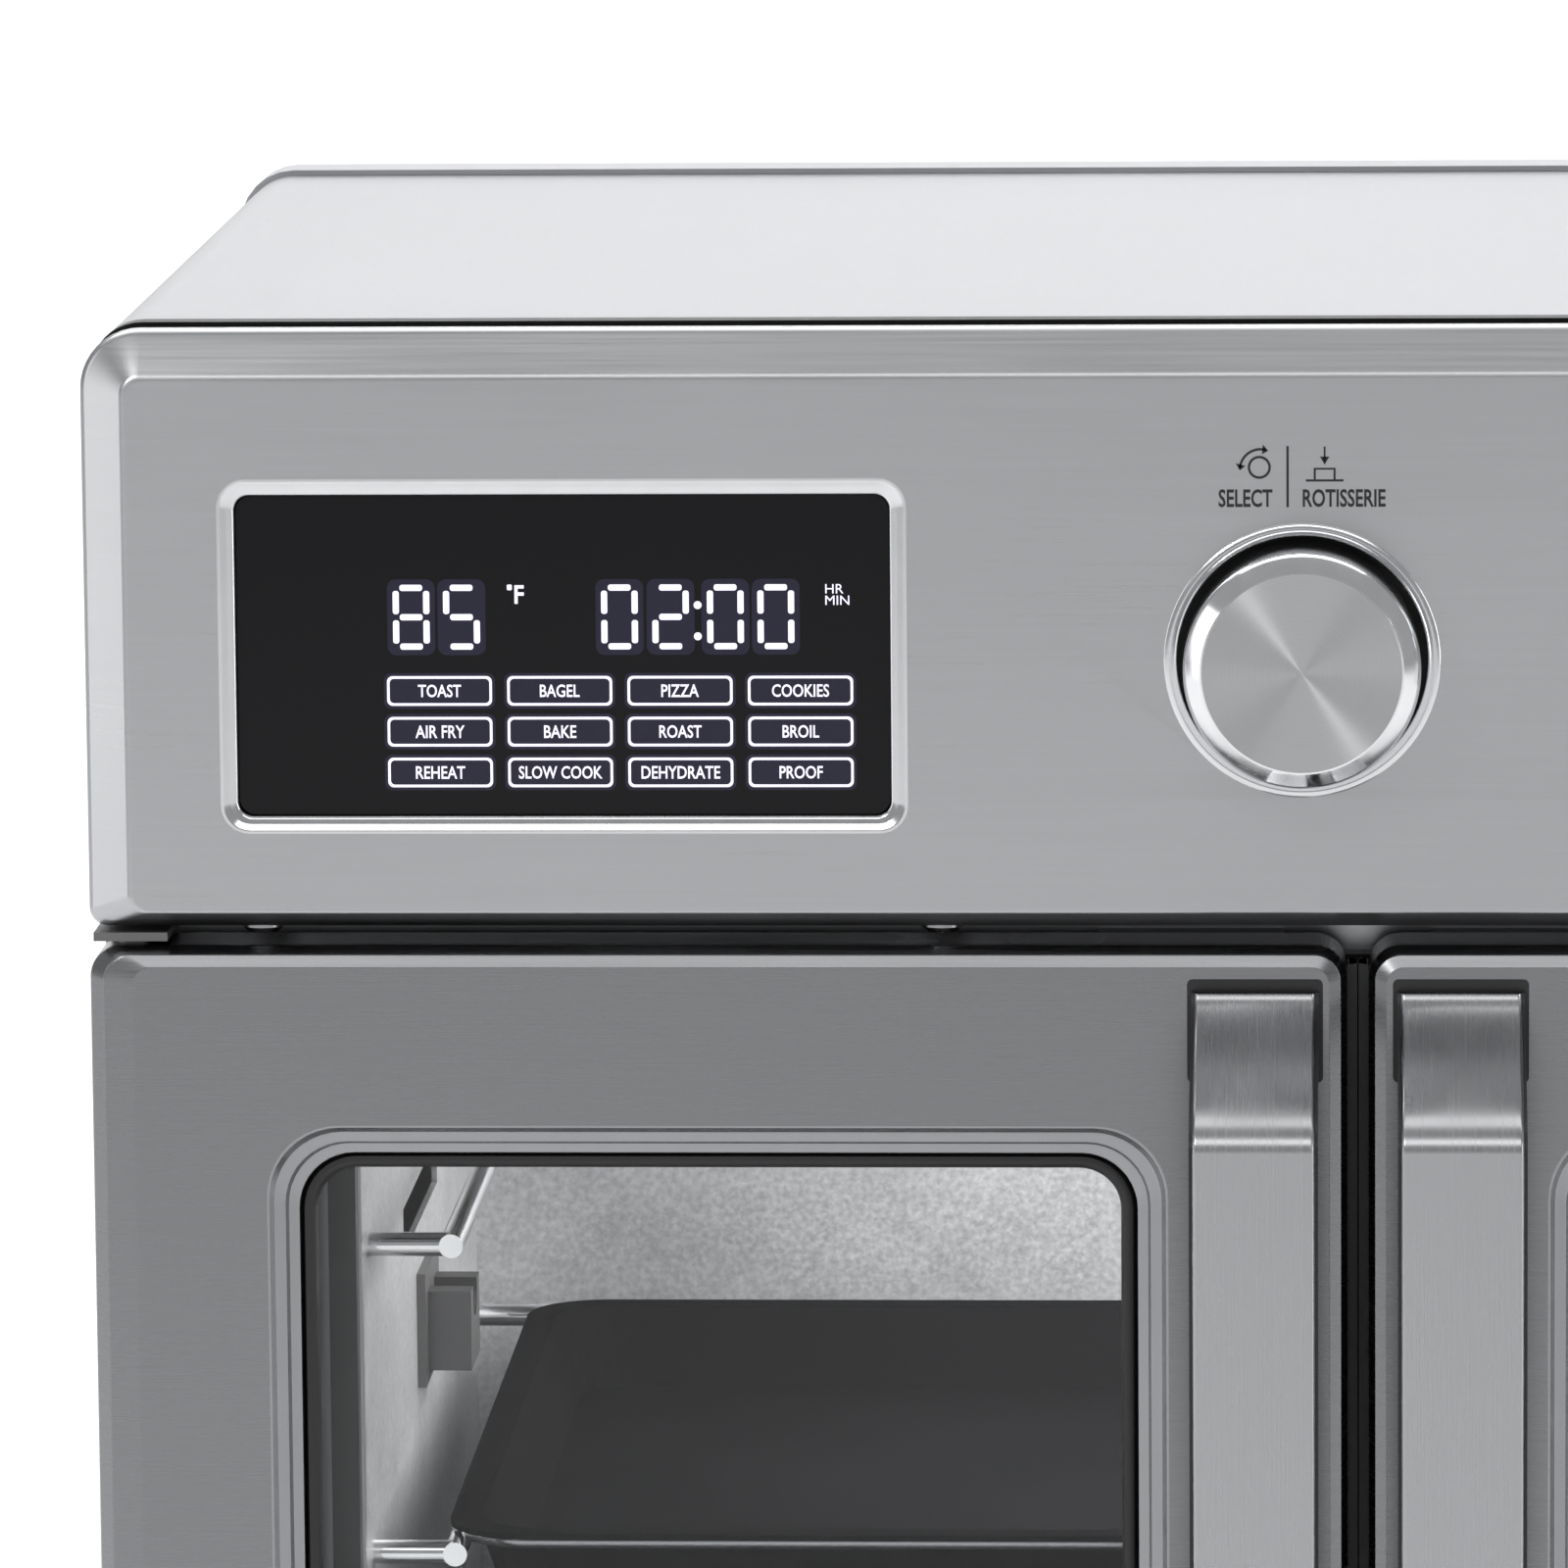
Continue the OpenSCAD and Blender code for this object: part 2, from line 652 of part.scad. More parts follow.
module heat_shield() {
    shield_x = inner_x - fit;
    color("lightgray") difference() {
        box(-shield_x, shield_x, cav_y0, body_d - 4, shield_z - shield_flange, shield_z + 1);
        box(-shield_x + 1, shield_x - 1, cav_y0 - 1, body_d, shield_z - shield_flange - 1, shield_z);
        rod_z(0, mid_y, shield_z - 1, shield_z + 2, fan_hole_r + 4);
    }
}

module power_board() {
    x0 = fan_hole_r + 14;
    x1 = inner_x - 6;
    board_z = shield_z + 12;
    color("darkgreen") union() {
        box(x0, x1, mid_y - 80, mid_y + 80, board_z, board_z + 1.6);
        for (x = [x0 + 5, x1 - 5], y = [mid_y - 74, mid_y + 74]) rod_z(x, y, shield_z + 1, board_z, 3);
        for (y = [mid_y - 50, mid_y - 25, mid_y]) box(x1 - 32, x1 - 14, y, y + 16, board_z + 1, board_z + 18);
        box(x0 + 14, x0 + 50, mid_y + 26, mid_y + 62, board_z + 1, board_z + 30);
        for (y = [mid_y - 60, mid_y - 38]) rod_z(x0 + 18, y, board_z + 1, board_z + 24, 7);
    }
}

module crumb_tray() {
    y1 = cav_y1 - 8;
    z0 = cav_z0 + slide_gap;
    color("lightgray") difference() {
        box(-crumb_x, crumb_x, frame_y - 1, y1, z0, z0 + crumb_wall);
        box(-crumb_x + 1, crumb_x - 1, frame_y, y1 - 1, z0 + 1, z0 + crumb_wall + 1);
    }
}

module crumb_tray_front() {
    front_x = cav_x - 10 - slide_gap;
    z0 = foot_h + 11 + slide_gap;
    z1 = rail_z1;
    color("silver") difference() {
        box(-front_x, front_x, 0, frame_y - 1, z0, z1);
        box(-front_x + 1.2, front_x - 1.2, 1.2, frame_y - 2.2, z0 - 1, z1 - 1.2);
    }
}

// ---------- Doors ----------

module hinge_brackets() {
    color("gainsboro") both_sides() {
        for (top = [true, false]) {
            z = top ? door_z1 + (door_clear - bracket_t) / 2 : door_z0 - (door_clear + bracket_t) / 2;
            pin_z0 = top ? door_z1 - bush_l - 1 : z;
            pin_z1 = top ? z + bracket_t : door_z0 + bush_l + 1;
            tab_z0 = top ? door_z1 - 8 : z;
            tab_z1 = top ? z + bracket_t : door_z0 + 8;
            box(hinge_x - 6, hinge_x + 6, hinge_y - 5, frame_y, z, z + bracket_t);
            box(hinge_x - 6, hinge_x + 6, frame_y - 1.2, frame_y, tab_z0, tab_z1);
            rod_z(hinge_x, hinge_y, pin_z0, pin_z1, hinge_r);
        }
    }
}

module hinge_bushes() {
    color("ivory") for (z = [door_z0 + door_edge, door_z1 - door_edge - bush_l]) difference() {
        rod_z(-hinge_x, hinge_y, z, z + bush_l, bush_r);
        rod_z(-hinge_x, hinge_y, z - 1, z + bush_l + 1, hinge_r + run);
    }
}

module window_hole(y0, y1, grow) {
    plate(win_x0 + bezel_w - grow, win_x1 - bezel_w + grow, win_z0 + bezel_w - grow, win_z1 - bezel_w + grow,
        y0, y1, 9 + grow / 2);
}

module door_form(in, y1) {
    pressed_front(-half_w + 0.2, -door_in_x, door_z0, door_z1, side_border, 3, door_edge, door_edge, y1, 3.8, 3.8, in);
}

module door_shell() {
    color("silver") difference() {
        union() {
            difference() {
                door_form(0, door_t);
                door_form(skin_t, door_t + 1);
            }
            plate(win_x0 - 1, win_x1 + 1, win_z0 - 1, win_z1 + 1, 0.5, bezel_d + skin_t, 13);
        }
        hull() {
            plate(win_x0, win_x1, win_z0, win_z1, -1, 0, 12);
            window_hole(bezel_d, bezel_d + eps, 0);
        }
        window_hole(0, 20, 0);
        rod_z(-hinge_x, hinge_y, door_z0 - 1, door_z1 + 1, hinge_r + 0.6);
    }
}

module window_gasket() {
    color([0.05, 0.05, 0.05]) difference() {
        window_hole(bezel_d - 0.4, glass_y, 0);
        window_hole(0, 20, -gasket_w);
    }
}

module window_glass() {
    color([0.7, 0.75, 0.75, 0.3]) window_hole(glass_y, glass_y + glass_t, glass_lap);
}

module door_inner() {
    color("lightgray") difference() {
        union() {
            plate(-half_w + 0.2 + skin_t + fit, -door_in_x - skin_t - fit, door_z0 + skin_t + fit,
                door_z1 - skin_t - fit, door_t - skin_t, door_t, 2.4);
            window_hole(glass_y + glass_t, door_t - skin_t / 2, 3);
        }
        window_hole(0, 30, 1.8);
    }
}

// Side outline of the strap. The ends run down to the door in an S, and the grip is straight.
function strap_line(out) = concat(
    [for (i = [0 : 8]) strap_point(i / 8, out)],
    [for (i = [8 : -1 : 0]) mirrored(strap_point(i / 8, out))]);
function strap_point(t, out) = [-(handle_reach - handle_t) * (1 - cos(180 * t)) / 2 - out,
    door_z1 - handle_end - handle_rise * t - (out > 0 ? 0 : handle_t * (1 - t))];
function mirrored(p) = [p.x, door_z0 + door_z1 - p.y];

module door_handle() {
    color("silver") translate([handle_x - handle_w / 2, 0, 0]) rotate([90, 0, 90]) linear_extrude(handle_w)
        polygon(concat(
            [[0, door_z1 - handle_end]], strap_line(handle_t), [[0, door_z0 + handle_end]],
            reverse(strap_line(0))));
}

function reverse(list) = [for (i = [len(list) - 1 : -1 : 0]) list[i]];

module meeting_seal() {
    color([0.05, 0.05, 0.05]) box(-door_in_x, -fit, door_t - 7, door_t - 1, door_z0 + 4, door_z1 - 4);
}

module door_magnets() {
    color("dimgray") both_sides()
        box(12, 42, door_t + slide_gap, frame_y, cav_z1 + gasket_reach + fit, door_z1 - fit);
}

// ---------- Assembly ----------

module left_side() { placed() children(); }
module right_side() { placed() mirror([1, 0, 0]) children(); }

placed() control_fascia();
placed() knob_cups();
placed() encoder_bodies();
placed() control_board();
placed() display_module();
placed() display_lens();
placed() front_frame();
placed() cabinet_wrap();
placed() rear_panel();
placed() base_pan();
placed() bottom_rail();
placed() cavity_liner();
placed() cavity_back();
placed() cavity_gasket();
placed() side_rails();
placed() wire_rack();
placed() baking_tray();
placed() heating_elements();
placed() element_insulators();
placed() fan_guard();
placed() fan_housing();
placed() fan_motor();
placed() rotisserie_motor();
placed() spit_rest();
placed() lamp_housing();
placed() lamp_lens();
placed() temperature_probe();
placed() heat_shield();
placed() power_board();
placed() cord_gland();
placed() rear_spacers();
placed() feet();
placed() screws();
placed() hinge_brackets();
placed() door_magnets();
placed() crumb_tray();
placed() crumb_tray_front();
placed() fan_wheel();
placed() fan_shaft();
placed() rotisserie_socket();
left_side() door_shell();  // left_door_shell
left_side() door_inner();  // left_door_inner
left_side() window_glass();  // left_window_glass
left_side() window_gasket();  // left_window_gasket
left_side() door_handle();  // left_door_handle
left_side() hinge_bushes();  // left_hinge_bushes
left_side() meeting_seal();  // left_meeting_seal
right_side() door_shell();  // right_door_shell
right_side() door_inner();  // right_door_inner
right_side() window_glass();  // right_window_glass
right_side() window_gasket();  // right_window_gasket
right_side() door_handle();  // right_door_handle
right_side() hinge_bushes();  // right_hinge_bushes
right_side() meeting_seal();  // right_meeting_seal
placed() control_shaft(knob_xs[0]);  // select_shaft
placed() knob(knob_xs[0]);  // select_knob
placed() control_shaft(knob_xs[1]);  // temperature_shaft
placed() knob(knob_xs[1]);  // temperature_knob
placed() control_shaft(knob_xs[2]);  // time_shaft
placed() knob(knob_xs[2]);  // time_knob
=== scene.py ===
"""Looks of the countertop toaster oven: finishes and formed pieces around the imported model."""

import json
import math

import bmesh
import bpy
from bpy.props import FloatProperty, FloatVectorProperty, PointerProperty
from mathutils import Matrix, Vector
from mathutils.geometry import tessellate_polygon


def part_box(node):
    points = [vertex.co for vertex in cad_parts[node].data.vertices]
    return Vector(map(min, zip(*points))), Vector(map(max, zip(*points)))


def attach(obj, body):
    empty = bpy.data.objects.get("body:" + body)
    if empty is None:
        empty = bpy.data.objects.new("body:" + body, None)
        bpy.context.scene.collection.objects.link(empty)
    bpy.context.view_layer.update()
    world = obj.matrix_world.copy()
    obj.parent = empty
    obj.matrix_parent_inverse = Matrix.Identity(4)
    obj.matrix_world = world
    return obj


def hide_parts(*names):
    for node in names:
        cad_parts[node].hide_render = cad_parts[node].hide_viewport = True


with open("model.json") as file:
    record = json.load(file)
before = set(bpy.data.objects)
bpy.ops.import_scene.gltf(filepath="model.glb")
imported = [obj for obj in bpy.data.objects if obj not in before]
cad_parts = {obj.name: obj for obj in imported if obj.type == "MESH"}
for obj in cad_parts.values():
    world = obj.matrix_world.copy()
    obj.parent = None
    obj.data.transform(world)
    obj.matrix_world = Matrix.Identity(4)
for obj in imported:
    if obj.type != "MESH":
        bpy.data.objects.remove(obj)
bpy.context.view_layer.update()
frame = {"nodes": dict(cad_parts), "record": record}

bl_info = {
    "name": "Toaster Oven",
    "version": (1, 0, 0),
    "blender": (4, 5, 0),
    "location": "View3D > Sidebar > Oven",
    "description": "Forms and finishes of a countertop toaster oven with two doors",
    "category": "Object",
}

MM = 0.001
NEAR = 0.001 * MM
CASING = "casing"
SIDES = {"left": -1, "right": 1}
KNOBS = ("select", "temperature", "time")

FASCIA_LOW, FASCIA_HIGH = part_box("control_fascia")
FRONT = FASCIA_LOW.y
LENS_LOW, LENS_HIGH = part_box("display_lens")
DOOR_LOW, DOOR_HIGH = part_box("left_door_shell")
GASKET_LOW, GASKET_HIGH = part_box("left_window_gasket")


# ---------- Sizes and colours a user may change ----------

class OvenSizes(bpy.types.PropertyGroup):
    """Sizes of the formed edges."""

    side_border: FloatProperty(name="Side border", description="Width of the sloping side borders",
                               default=7.4 * MM, unit="LENGTH")
    top_border: FloatProperty(name="Top border", description="Width of the fascia's upper border",
                              default=7.6 * MM, unit="LENGTH")
    low_border: FloatProperty(name="Low border", description="Width of the fascia's lower border",
                              default=3.0 * MM, unit="LENGTH")
    door_border: FloatProperty(name="Door border", description="Width of the doors' narrow borders",
                               default=2.9 * MM, unit="LENGTH")
    corner: FloatProperty(name="Corner", description="Radius of the upper corners of the casing",
                          default=10 * MM, unit="LENGTH")
    bezel: FloatProperty(name="Bezel", description="Width of the pressed step around a window",
                         default=5.4 * MM, unit="LENGTH")


class OvenColors(bpy.types.PropertyGroup):
    """Colours of the main finishes."""

    fascia: FloatVectorProperty(name="Fascia", description="Steel of the control fascia", subtype="COLOR",
                                default=(0.49, 0.495, 0.505), min=0, max=1)
    door: FloatVectorProperty(name="Doors", description="Steel of the doors", subtype="COLOR",
                              default=(0.25, 0.253, 0.26), min=0, max=1)
    cover: FloatVectorProperty(name="Cover", description="Satin sheet of the casing", subtype="COLOR",
                               default=(0.48, 0.485, 0.50), min=0, max=1)
    lamps: FloatVectorProperty(name="Lamps", description="Light of the display", subtype="COLOR",
                               default=(0.86, 0.84, 1.0), min=0, max=1)


# ---------- Shader expressions ----------

class Value:
    """A socket in a shader expression. Arithmetic on it adds the Math nodes."""

    def __init__(self, finish, socket):
        self.finish = finish
        self.socket = socket

    def math(self, operation, *operands):
        return self.finish.add("ShaderNodeMath", {"operation": operation}, dict(enumerate(operands)))

    def __add__(self, other):
        return self.math("ADD", self, other)

    def __mul__(self, other):
        return self.math("MULTIPLY", self, other)

    __radd__ = __add__
    __rmul__ = __mul__


def socket_name(key):
    return key.replace("_", " ").title().replace("Ior", "IOR")


class Finish:
    """A procedural material around one Principled shader."""

    def __init__(self, name, **fixed):
        self.material = bpy.data.materials.new(name)
        self.material.use_nodes = True
        self.tree = self.material.node_tree
        self.shader = self.tree.nodes["Principled BSDF"]
        for socket, value in fixed.items():
            self.shader.inputs[socket_name(socket)].default_value = value

    def add(self, kind, settings=None, sockets=None, output=0):
        """Adds a node and returns one of its outputs."""
        node = self.tree.nodes.new(kind)
        for key, value in (settings or {}).items():
            setattr(node, key, value)
        for key, value in (sockets or {}).items():
            self.join(value, node.inputs[key])
        return Value(self, node.outputs[output])

    def join(self, value, socket):
        if isinstance(value, Value):
            self.tree.links.new(value.socket, socket)
        else:
            socket.default_value = value

    def feed(self, **inputs):
        for key, value in inputs.items():
            self.join(value, self.shader.inputs[socket_name(key)])
        return self

    def place(self, scale=(1, 1, 1)):
        """The point on the piece, in metres, stretched by scale."""
        point = self.add("ShaderNodeTexCoord", output="Object")
        return self.add("ShaderNodeVectorMath", {"operation": "MULTIPLY"}, {0: point, 1: scale})

    def noise(self, scale, detail=2.0, roughness=0.5):
        return self.add("ShaderNodeTexNoise", None, {
            "Vector": self.place(scale), "Scale": 1.0, "Detail": detail, "Roughness": roughness})

    def blend(self, factor, low, high):
        """A colour from low to high as factor goes from 0 to 1."""
        return self.add("ShaderNodeMix", {"data_type": "RGBA"}, {
            0: factor, 6: (*low, 1.0), 7: (*high, 1.0)}, output=2)

    def bump(self, height, distance, strength=1.0):
        self.feed(Normal=self.add("ShaderNodeBump", None, {
            "Height": height, "Distance": distance, "Strength": strength}))
        return self


def shade(color, factor):
    return tuple(min(1.0, c * factor) for c in color)


# Noise scale along x, y and z. Hairlines run along the named axis, where the scale is low.
GRAIN = {"x": (28, 28, 2600), "z": (2600, 28, 28)}


def brushed(name, color, direction="x", roughness=0.30, contrast=0.06, anisotropic=0.55):
    """Brushed steel whose hairlines run along one axis, with faint clouds and wiped patches."""
    finish = Finish(name, metallic=1.0, anisotropic=anisotropic, anisotropic_rotation=0.25)
    hairs = finish.noise(GRAIN[direction], detail=2.0, roughness=0.5)
    clouds = finish.noise((14, 14, 22), detail=2.0)
    tone = hairs * 0.7 + clouds * 0.3
    finish.feed(base_color=finish.blend(tone, shade(color, 1 - contrast), shade(color, 1 + contrast)),
                roughness=hairs * 0.10 + clouds * 0.06 + (roughness - 0.08))
    return finish.bump(hairs, 0.01 * MM, 0.12).material


def plain_sheet(name, color, roughness=0.3, metallic=1.0):
    """Satin sheet with faint rolling marks and soft stains."""
    finish = Finish(name, metallic=metallic)
    clouds = finish.noise((9, 9, 9), detail=3.0)
    specks = finish.noise((900, 900, 900), detail=2.0)
    finish.feed(base_color=finish.blend(clouds, shade(color, 0.96), shade(color, 1.04)),
                roughness=clouds * 0.08 + specks * 0.06 + (roughness - 0.07))
    return finish.bump(specks, 0.01 * MM, 0.3).material


def galvanised(name, color, roughness=0.42):
    """Aluminised sheet: fine crystal grain with faint larger clouds."""
    finish = Finish(name, metallic=0.7)
    grain = finish.noise((820, 820, 820), detail=2.0, roughness=0.6)
    clouds = finish.noise((60, 60, 60), detail=2.0)
    tone = grain * 0.75 + clouds * 0.25
    finish.feed(base_color=finish.blend(tone, shade(color, 0.45), shade(color, 1.5)),
                roughness=grain * 0.18 + clouds * 0.06 + (roughness - 0.12))
    return finish.bump(grain, 0.04 * MM, 0.5).material


def moulded(name, color, roughness=0.5, grain=600, **fixed):
    """Moulded plastic or rubber with a fine spark-eroded grain."""
    finish = Finish(name, **fixed)
    texture = finish.noise((grain, grain, grain), detail=3.0)
    wear = finish.noise((25, 25, 25), detail=2.0)
    finish.feed(base_color=finish.blend(wear, shade(color, 0.85), shade(color, 1.2)),
                roughness=texture * 0.12 + wear * 0.08 + (roughness - 0.10))
    return finish.bump(texture, 0.02 * MM, 0.4).material


def enamel(name, color, roughness=0.42):
    """Dark non-stick enamel, a little uneven."""
    finish = Finish(name, specular_ior_level=0.0)
    film = finish.noise((30, 30, 30), detail=3.0)
    finish.feed(base_color=finish.blend(film, shade(color, 0.8), shade(color, 1.3)),
                roughness=film * 0.16 + (roughness - 0.08))
    return finish.bump(film, 0.03 * MM, 0.2).material


def polished(name, color, roughness=0.08):
    """Bright plated wire or screw head, with faint handling marks."""
    finish = Finish(name, metallic=1.0)
    marks = finish.noise((180, 180, 180), detail=3.0)
    finish.feed(base_color=finish.blend(marks, shade(color, 0.93), shade(color, 1.05)),
                roughness=marks * 0.08 + (roughness - 0.03))
    return finish.material


def spun(name, color, roughness=0.26):
    """Face turned on a lathe: rings round local Z with a strong radial sheen."""
    finish = Finish(name, metallic=1.0, anisotropic=0.95, anisotropic_rotation=0.25)
    point = finish.place()
    across = finish.add("ShaderNodeVectorMath", {"operation": "MULTIPLY"}, {0: point, 1: (1, 1, 0)})
    radius = finish.add("ShaderNodeVectorMath", {"operation": "LENGTH"}, {0: across}, output="Value")
    rings = finish.add("ShaderNodeTexNoise", {"noise_dimensions": "1D"}, {
        "W": radius * 6500.0, "Scale": 1.0, "Detail": 2.0})
    finish.feed(base_color=finish.blend(rings, shade(color, 0.86), shade(color, 1.12)),
                roughness=rings * 0.14 + (roughness - 0.07))
    return finish.bump(rings, 0.01 * MM, 0.4).material


def clear_glass(name, color):
    """Thin clear glass: it lets light through and mirrors a little."""
    finish = Finish(name, metallic=1.0)
    smears = finish.noise((12, 12, 12), detail=3.0)
    finish.feed(roughness=smears * 0.05 + 0.01, base_color=(*color, 1.0))
    through = finish.add("ShaderNodeBsdfTransparent", None, {0: (*color, 1.0)})
    fresnel = finish.add("ShaderNodeFresnel", None, {"IOR": 1.45})
    mirror = Value(finish, finish.shader.outputs[0])
    mixed = finish.add("ShaderNodeMixShader", None, {0: fresnel * 0.45, 1: through, 2: mirror})
    finish.join(mixed, finish.tree.nodes["Material Output"].inputs[0])
    return finish.material


def glowing(name, color, strength, depth=0.25, roughness=0.4):
    """A lit mark, a little uneven over its area."""
    finish = Finish(name, roughness=roughness, emission_strength=strength,
                    base_color=(0.004, 0.004, 0.005, 1), specular_ior_level=0.3)
    uneven = finish.noise((420, 420, 420), detail=1.0)
    return finish.feed(emission_color=finish.blend(uneven, shade(color, 1 - depth), color)).material


def ink(name, color):
    """Screen-printed ink."""
    finish = Finish(name)
    film = finish.noise((800, 800, 800))
    return finish.feed(base_color=finish.blend(film, shade(color, 0.8), shade(color, 1.3)),
                       roughness=film * 0.2 + 0.45).material


def make_finishes(colors):
    """Every finish of the oven by its slot in the record, and the extra ones by their own names."""
    fascia, door, cover = (tuple(c) for c in (colors.fascia, colors.door, colors.cover))
    return {
        "panel_steel": brushed("panel_steel", fascia),
        "door_steel": brushed("door_steel", door, roughness=0.27),
        # The window step is pressed in the door's own sheet; this lighter, glossier copy of the door steel is
        # painted sheen.
        "bezel_sheen_steel": polished("bezel_sheen_steel", shade(door, 1.3), roughness=0.24),
        "handle_steel": brushed("handle_steel", shade(fascia, 0.86), direction="z", roughness=0.27),
        "cover_steel": plain_sheet("cover_steel", cover),
        "frame_steel": plain_sheet("frame_steel", fascia),
        "galvanised": galvanised("galvanised", (0.62, 0.625, 0.635)),
        "zinc": plain_sheet("zinc", (0.58, 0.585, 0.60), roughness=0.32),
        "knob_metal": spun("knob_metal", (0.50, 0.503, 0.51), roughness=0.33),
        "knob_edge": polished("knob_edge", (0.82, 0.825, 0.835), roughness=0.1),
        "chrome_wire": polished("chrome_wire", (0.80, 0.80, 0.81)),
        "screw_steel": polished("screw_steel", (0.34, 0.34, 0.35), roughness=0.25),
        "bright_rim": polished("bright_rim", (0.72, 0.725, 0.735), roughness=0.16),
        "element_steel": plain_sheet("element_steel", (0.19, 0.188, 0.19), roughness=0.5),
        "motor_steel": plain_sheet("motor_steel", (0.30, 0.31, 0.33), metallic=0.6),
        "dark_enamel": enamel("dark_enamel", (0.006, 0.006, 0.0065)),
        "bead_steel": polished("bead_steel", (0.34, 0.34, 0.35), roughness=0.2),
        "black_plastic": moulded("black_plastic", (0.018, 0.018, 0.019)),
        "white_plastic": moulded("white_plastic", (0.75, 0.75, 0.73), roughness=0.4),
        "ceramic_white": moulded("ceramic_white", (0.74, 0.71, 0.64), roughness=0.7, grain=1500),
        "seal_black": moulded("seal_black", (0.012, 0.012, 0.013), roughness=0.42, grain=900),
        "rubber_black": moulded("rubber_black", (0.02, 0.02, 0.02), roughness=0.7),
        "lens_black": moulded("lens_black", (0.004, 0.004, 0.005), roughness=0.13, grain=4,
                              specular_ior_level=0.2),
        "board_green": moulded("board_green", (0.02, 0.14, 0.05), roughness=0.35, grain=200),
        "window_glass": clear_glass("window_glass", (0.97, 0.975, 0.975)),
        "lamp_glass": glowing("lamp_glass", (1.0, 0.97, 0.93), 55.0),
        "display_light": glowing("display_light", tuple(colors.lamps), 1.6),
        "display_halo": glowing("display_halo", (0.40, 0.34, 1.0), 0.03, roughness=0.13),
        "print_black": ink("print_black", (0.012, 0.012, 0.013)),
    }


# Filled by the operator of the finishes, before the first piece is formed.
FINISHES = {}


# ---------- Forming pieces ----------

def rounded_ring(rect, radius, y, steps=10):
    """Points of an upright rounded rectangle. radius is one number or (lower, upper)."""
    x0, x1, z0, z1 = rect
    low, high = radius if isinstance(radius, tuple) else (radius, radius)
    corners = ((x1 - low, z0 + low, low, -90), (x1 - high, z1 - high, high, 0),
               (x0 + high, z1 - high, high, 90), (x0 + low, z0 + low, low, 180))
    return [Vector((cx + r * math.cos(a), y, cz + r * math.sin(a)))
            for cx, cz, r, start in corners
            for a in (math.radians(start + 90 * i / steps) for i in range(steps + 1))]


def circle_ring(centre, radius, y, steps=64):
    return [Vector((centre[0] + radius * math.cos(a), y, centre[1] + radius * math.sin(a)))
            for a in (math.tau * i / steps for i in range(steps))]


def inset(rect, borders, share=1.0):
    """rect moved in by a share of its borders, which are one number or (left, right, low, high)."""
    if not isinstance(borders, tuple):
        borders = (borders,) * 4
    left, right, low, high = (b * share for b in borders)
    x0, x1, z0, z1 = rect
    return (x0 + left, x1 - right, z0 + low, z1 - high)


def filleted(corners, steps=4):
    """A line of (across, depth) points with rounded corners. A corner is (across, depth, radius)."""
    line = [Vector(corners[0][:2])]
    for before, corner, after in zip(corners, corners[1:], corners[2:]):
        here = Vector(corner[:2])
        back = Vector(before[:2]) - here
        ahead = Vector(after[:2]) - here
        half = back.angle(ahead) / 2
        reach = min(corner[2] / math.tan(half), 0.48 * back.length, 0.48 * ahead.length)
        start, end = here + back.normalized() * reach, here + ahead.normalized() * reach
        for i in range(steps + 1):
            t = i / steps
            line.append(start * (1 - t) ** 2 + here * 2 * t * (1 - t) + end * t ** 2)
    line.append(Vector(corners[-1][:2]))
    return line


def loft(bm, rings):
    """Joins rings of equal length by quads, and returns their rows of vertices."""
    rows = [[bm.verts.new(p) for p in ring] for ring in rings]
    for a, b in zip(rows, rows[1:]):
        for i in range(len(a)):
            bm.faces.new((a[i - 1], a[i], b[i], b[i - 1]))
    return rows


def fill(bm, *loops):
    """Closes a flat outline with its holes."""
    verts = [v for loop in loops for v in loop]
    for triangle in tessellate_polygon([[v.co for v in loop] for loop in loops]):
        bm.faces.new([verts[i] for i in triangle])


def finished(bm, name, finish, body, replaces=(), sharp=38, thick=0.0):
    """Turns a bmesh into a smooth piece that rides on a body."""
    bmesh.ops.remove_doubles(bm, verts=bm.verts, dist=0.002 * MM)
    bmesh.ops.recalc_face_normals(bm, faces=bm.faces)
    mesh = bpy.data.meshes.new(name)
    bm.to_mesh(mesh)
    bm.free()
    piece = bpy.data.objects.new(name, mesh)
    bpy.context.scene.collection.objects.link(piece)
    if thick:
        solid = piece.modifiers.new("Sheet", "SOLIDIFY")
        solid.thickness = thick
        solid.offset = -1
        apply_modifiers(piece)
    for polygon in piece.data.polygons:
        polygon.use_smooth = True
    piece.data.set_sharp_from_angle(angle=math.radians(sharp))
    weighted = piece.modifiers.new("Flat faces", "WEIGHTED_NORMAL")
    weighted.keep_sharp = True
    weighted.weight = 80
    piece.data.materials.append(FINISHES[finish])
    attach(piece, body)
    if replaces:
        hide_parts(*replaces)
    return piece


def apply_modifiers(piece):
    graph = bpy.context.evaluated_depsgraph_get()
    mesh = bpy.data.meshes.new_from_object(piece.evaluated_get(graph))
    piece.modifiers.clear()
    piece.data = mesh


def lathe(bm, profile, centre, steps=96):
    """Turns (radius, depth) points round an axis through centre that runs to the rear."""
    return loft(bm, [circle_ring(centre, radius, depth, steps) for radius, depth in profile])


# ---------- Control fascia ----------

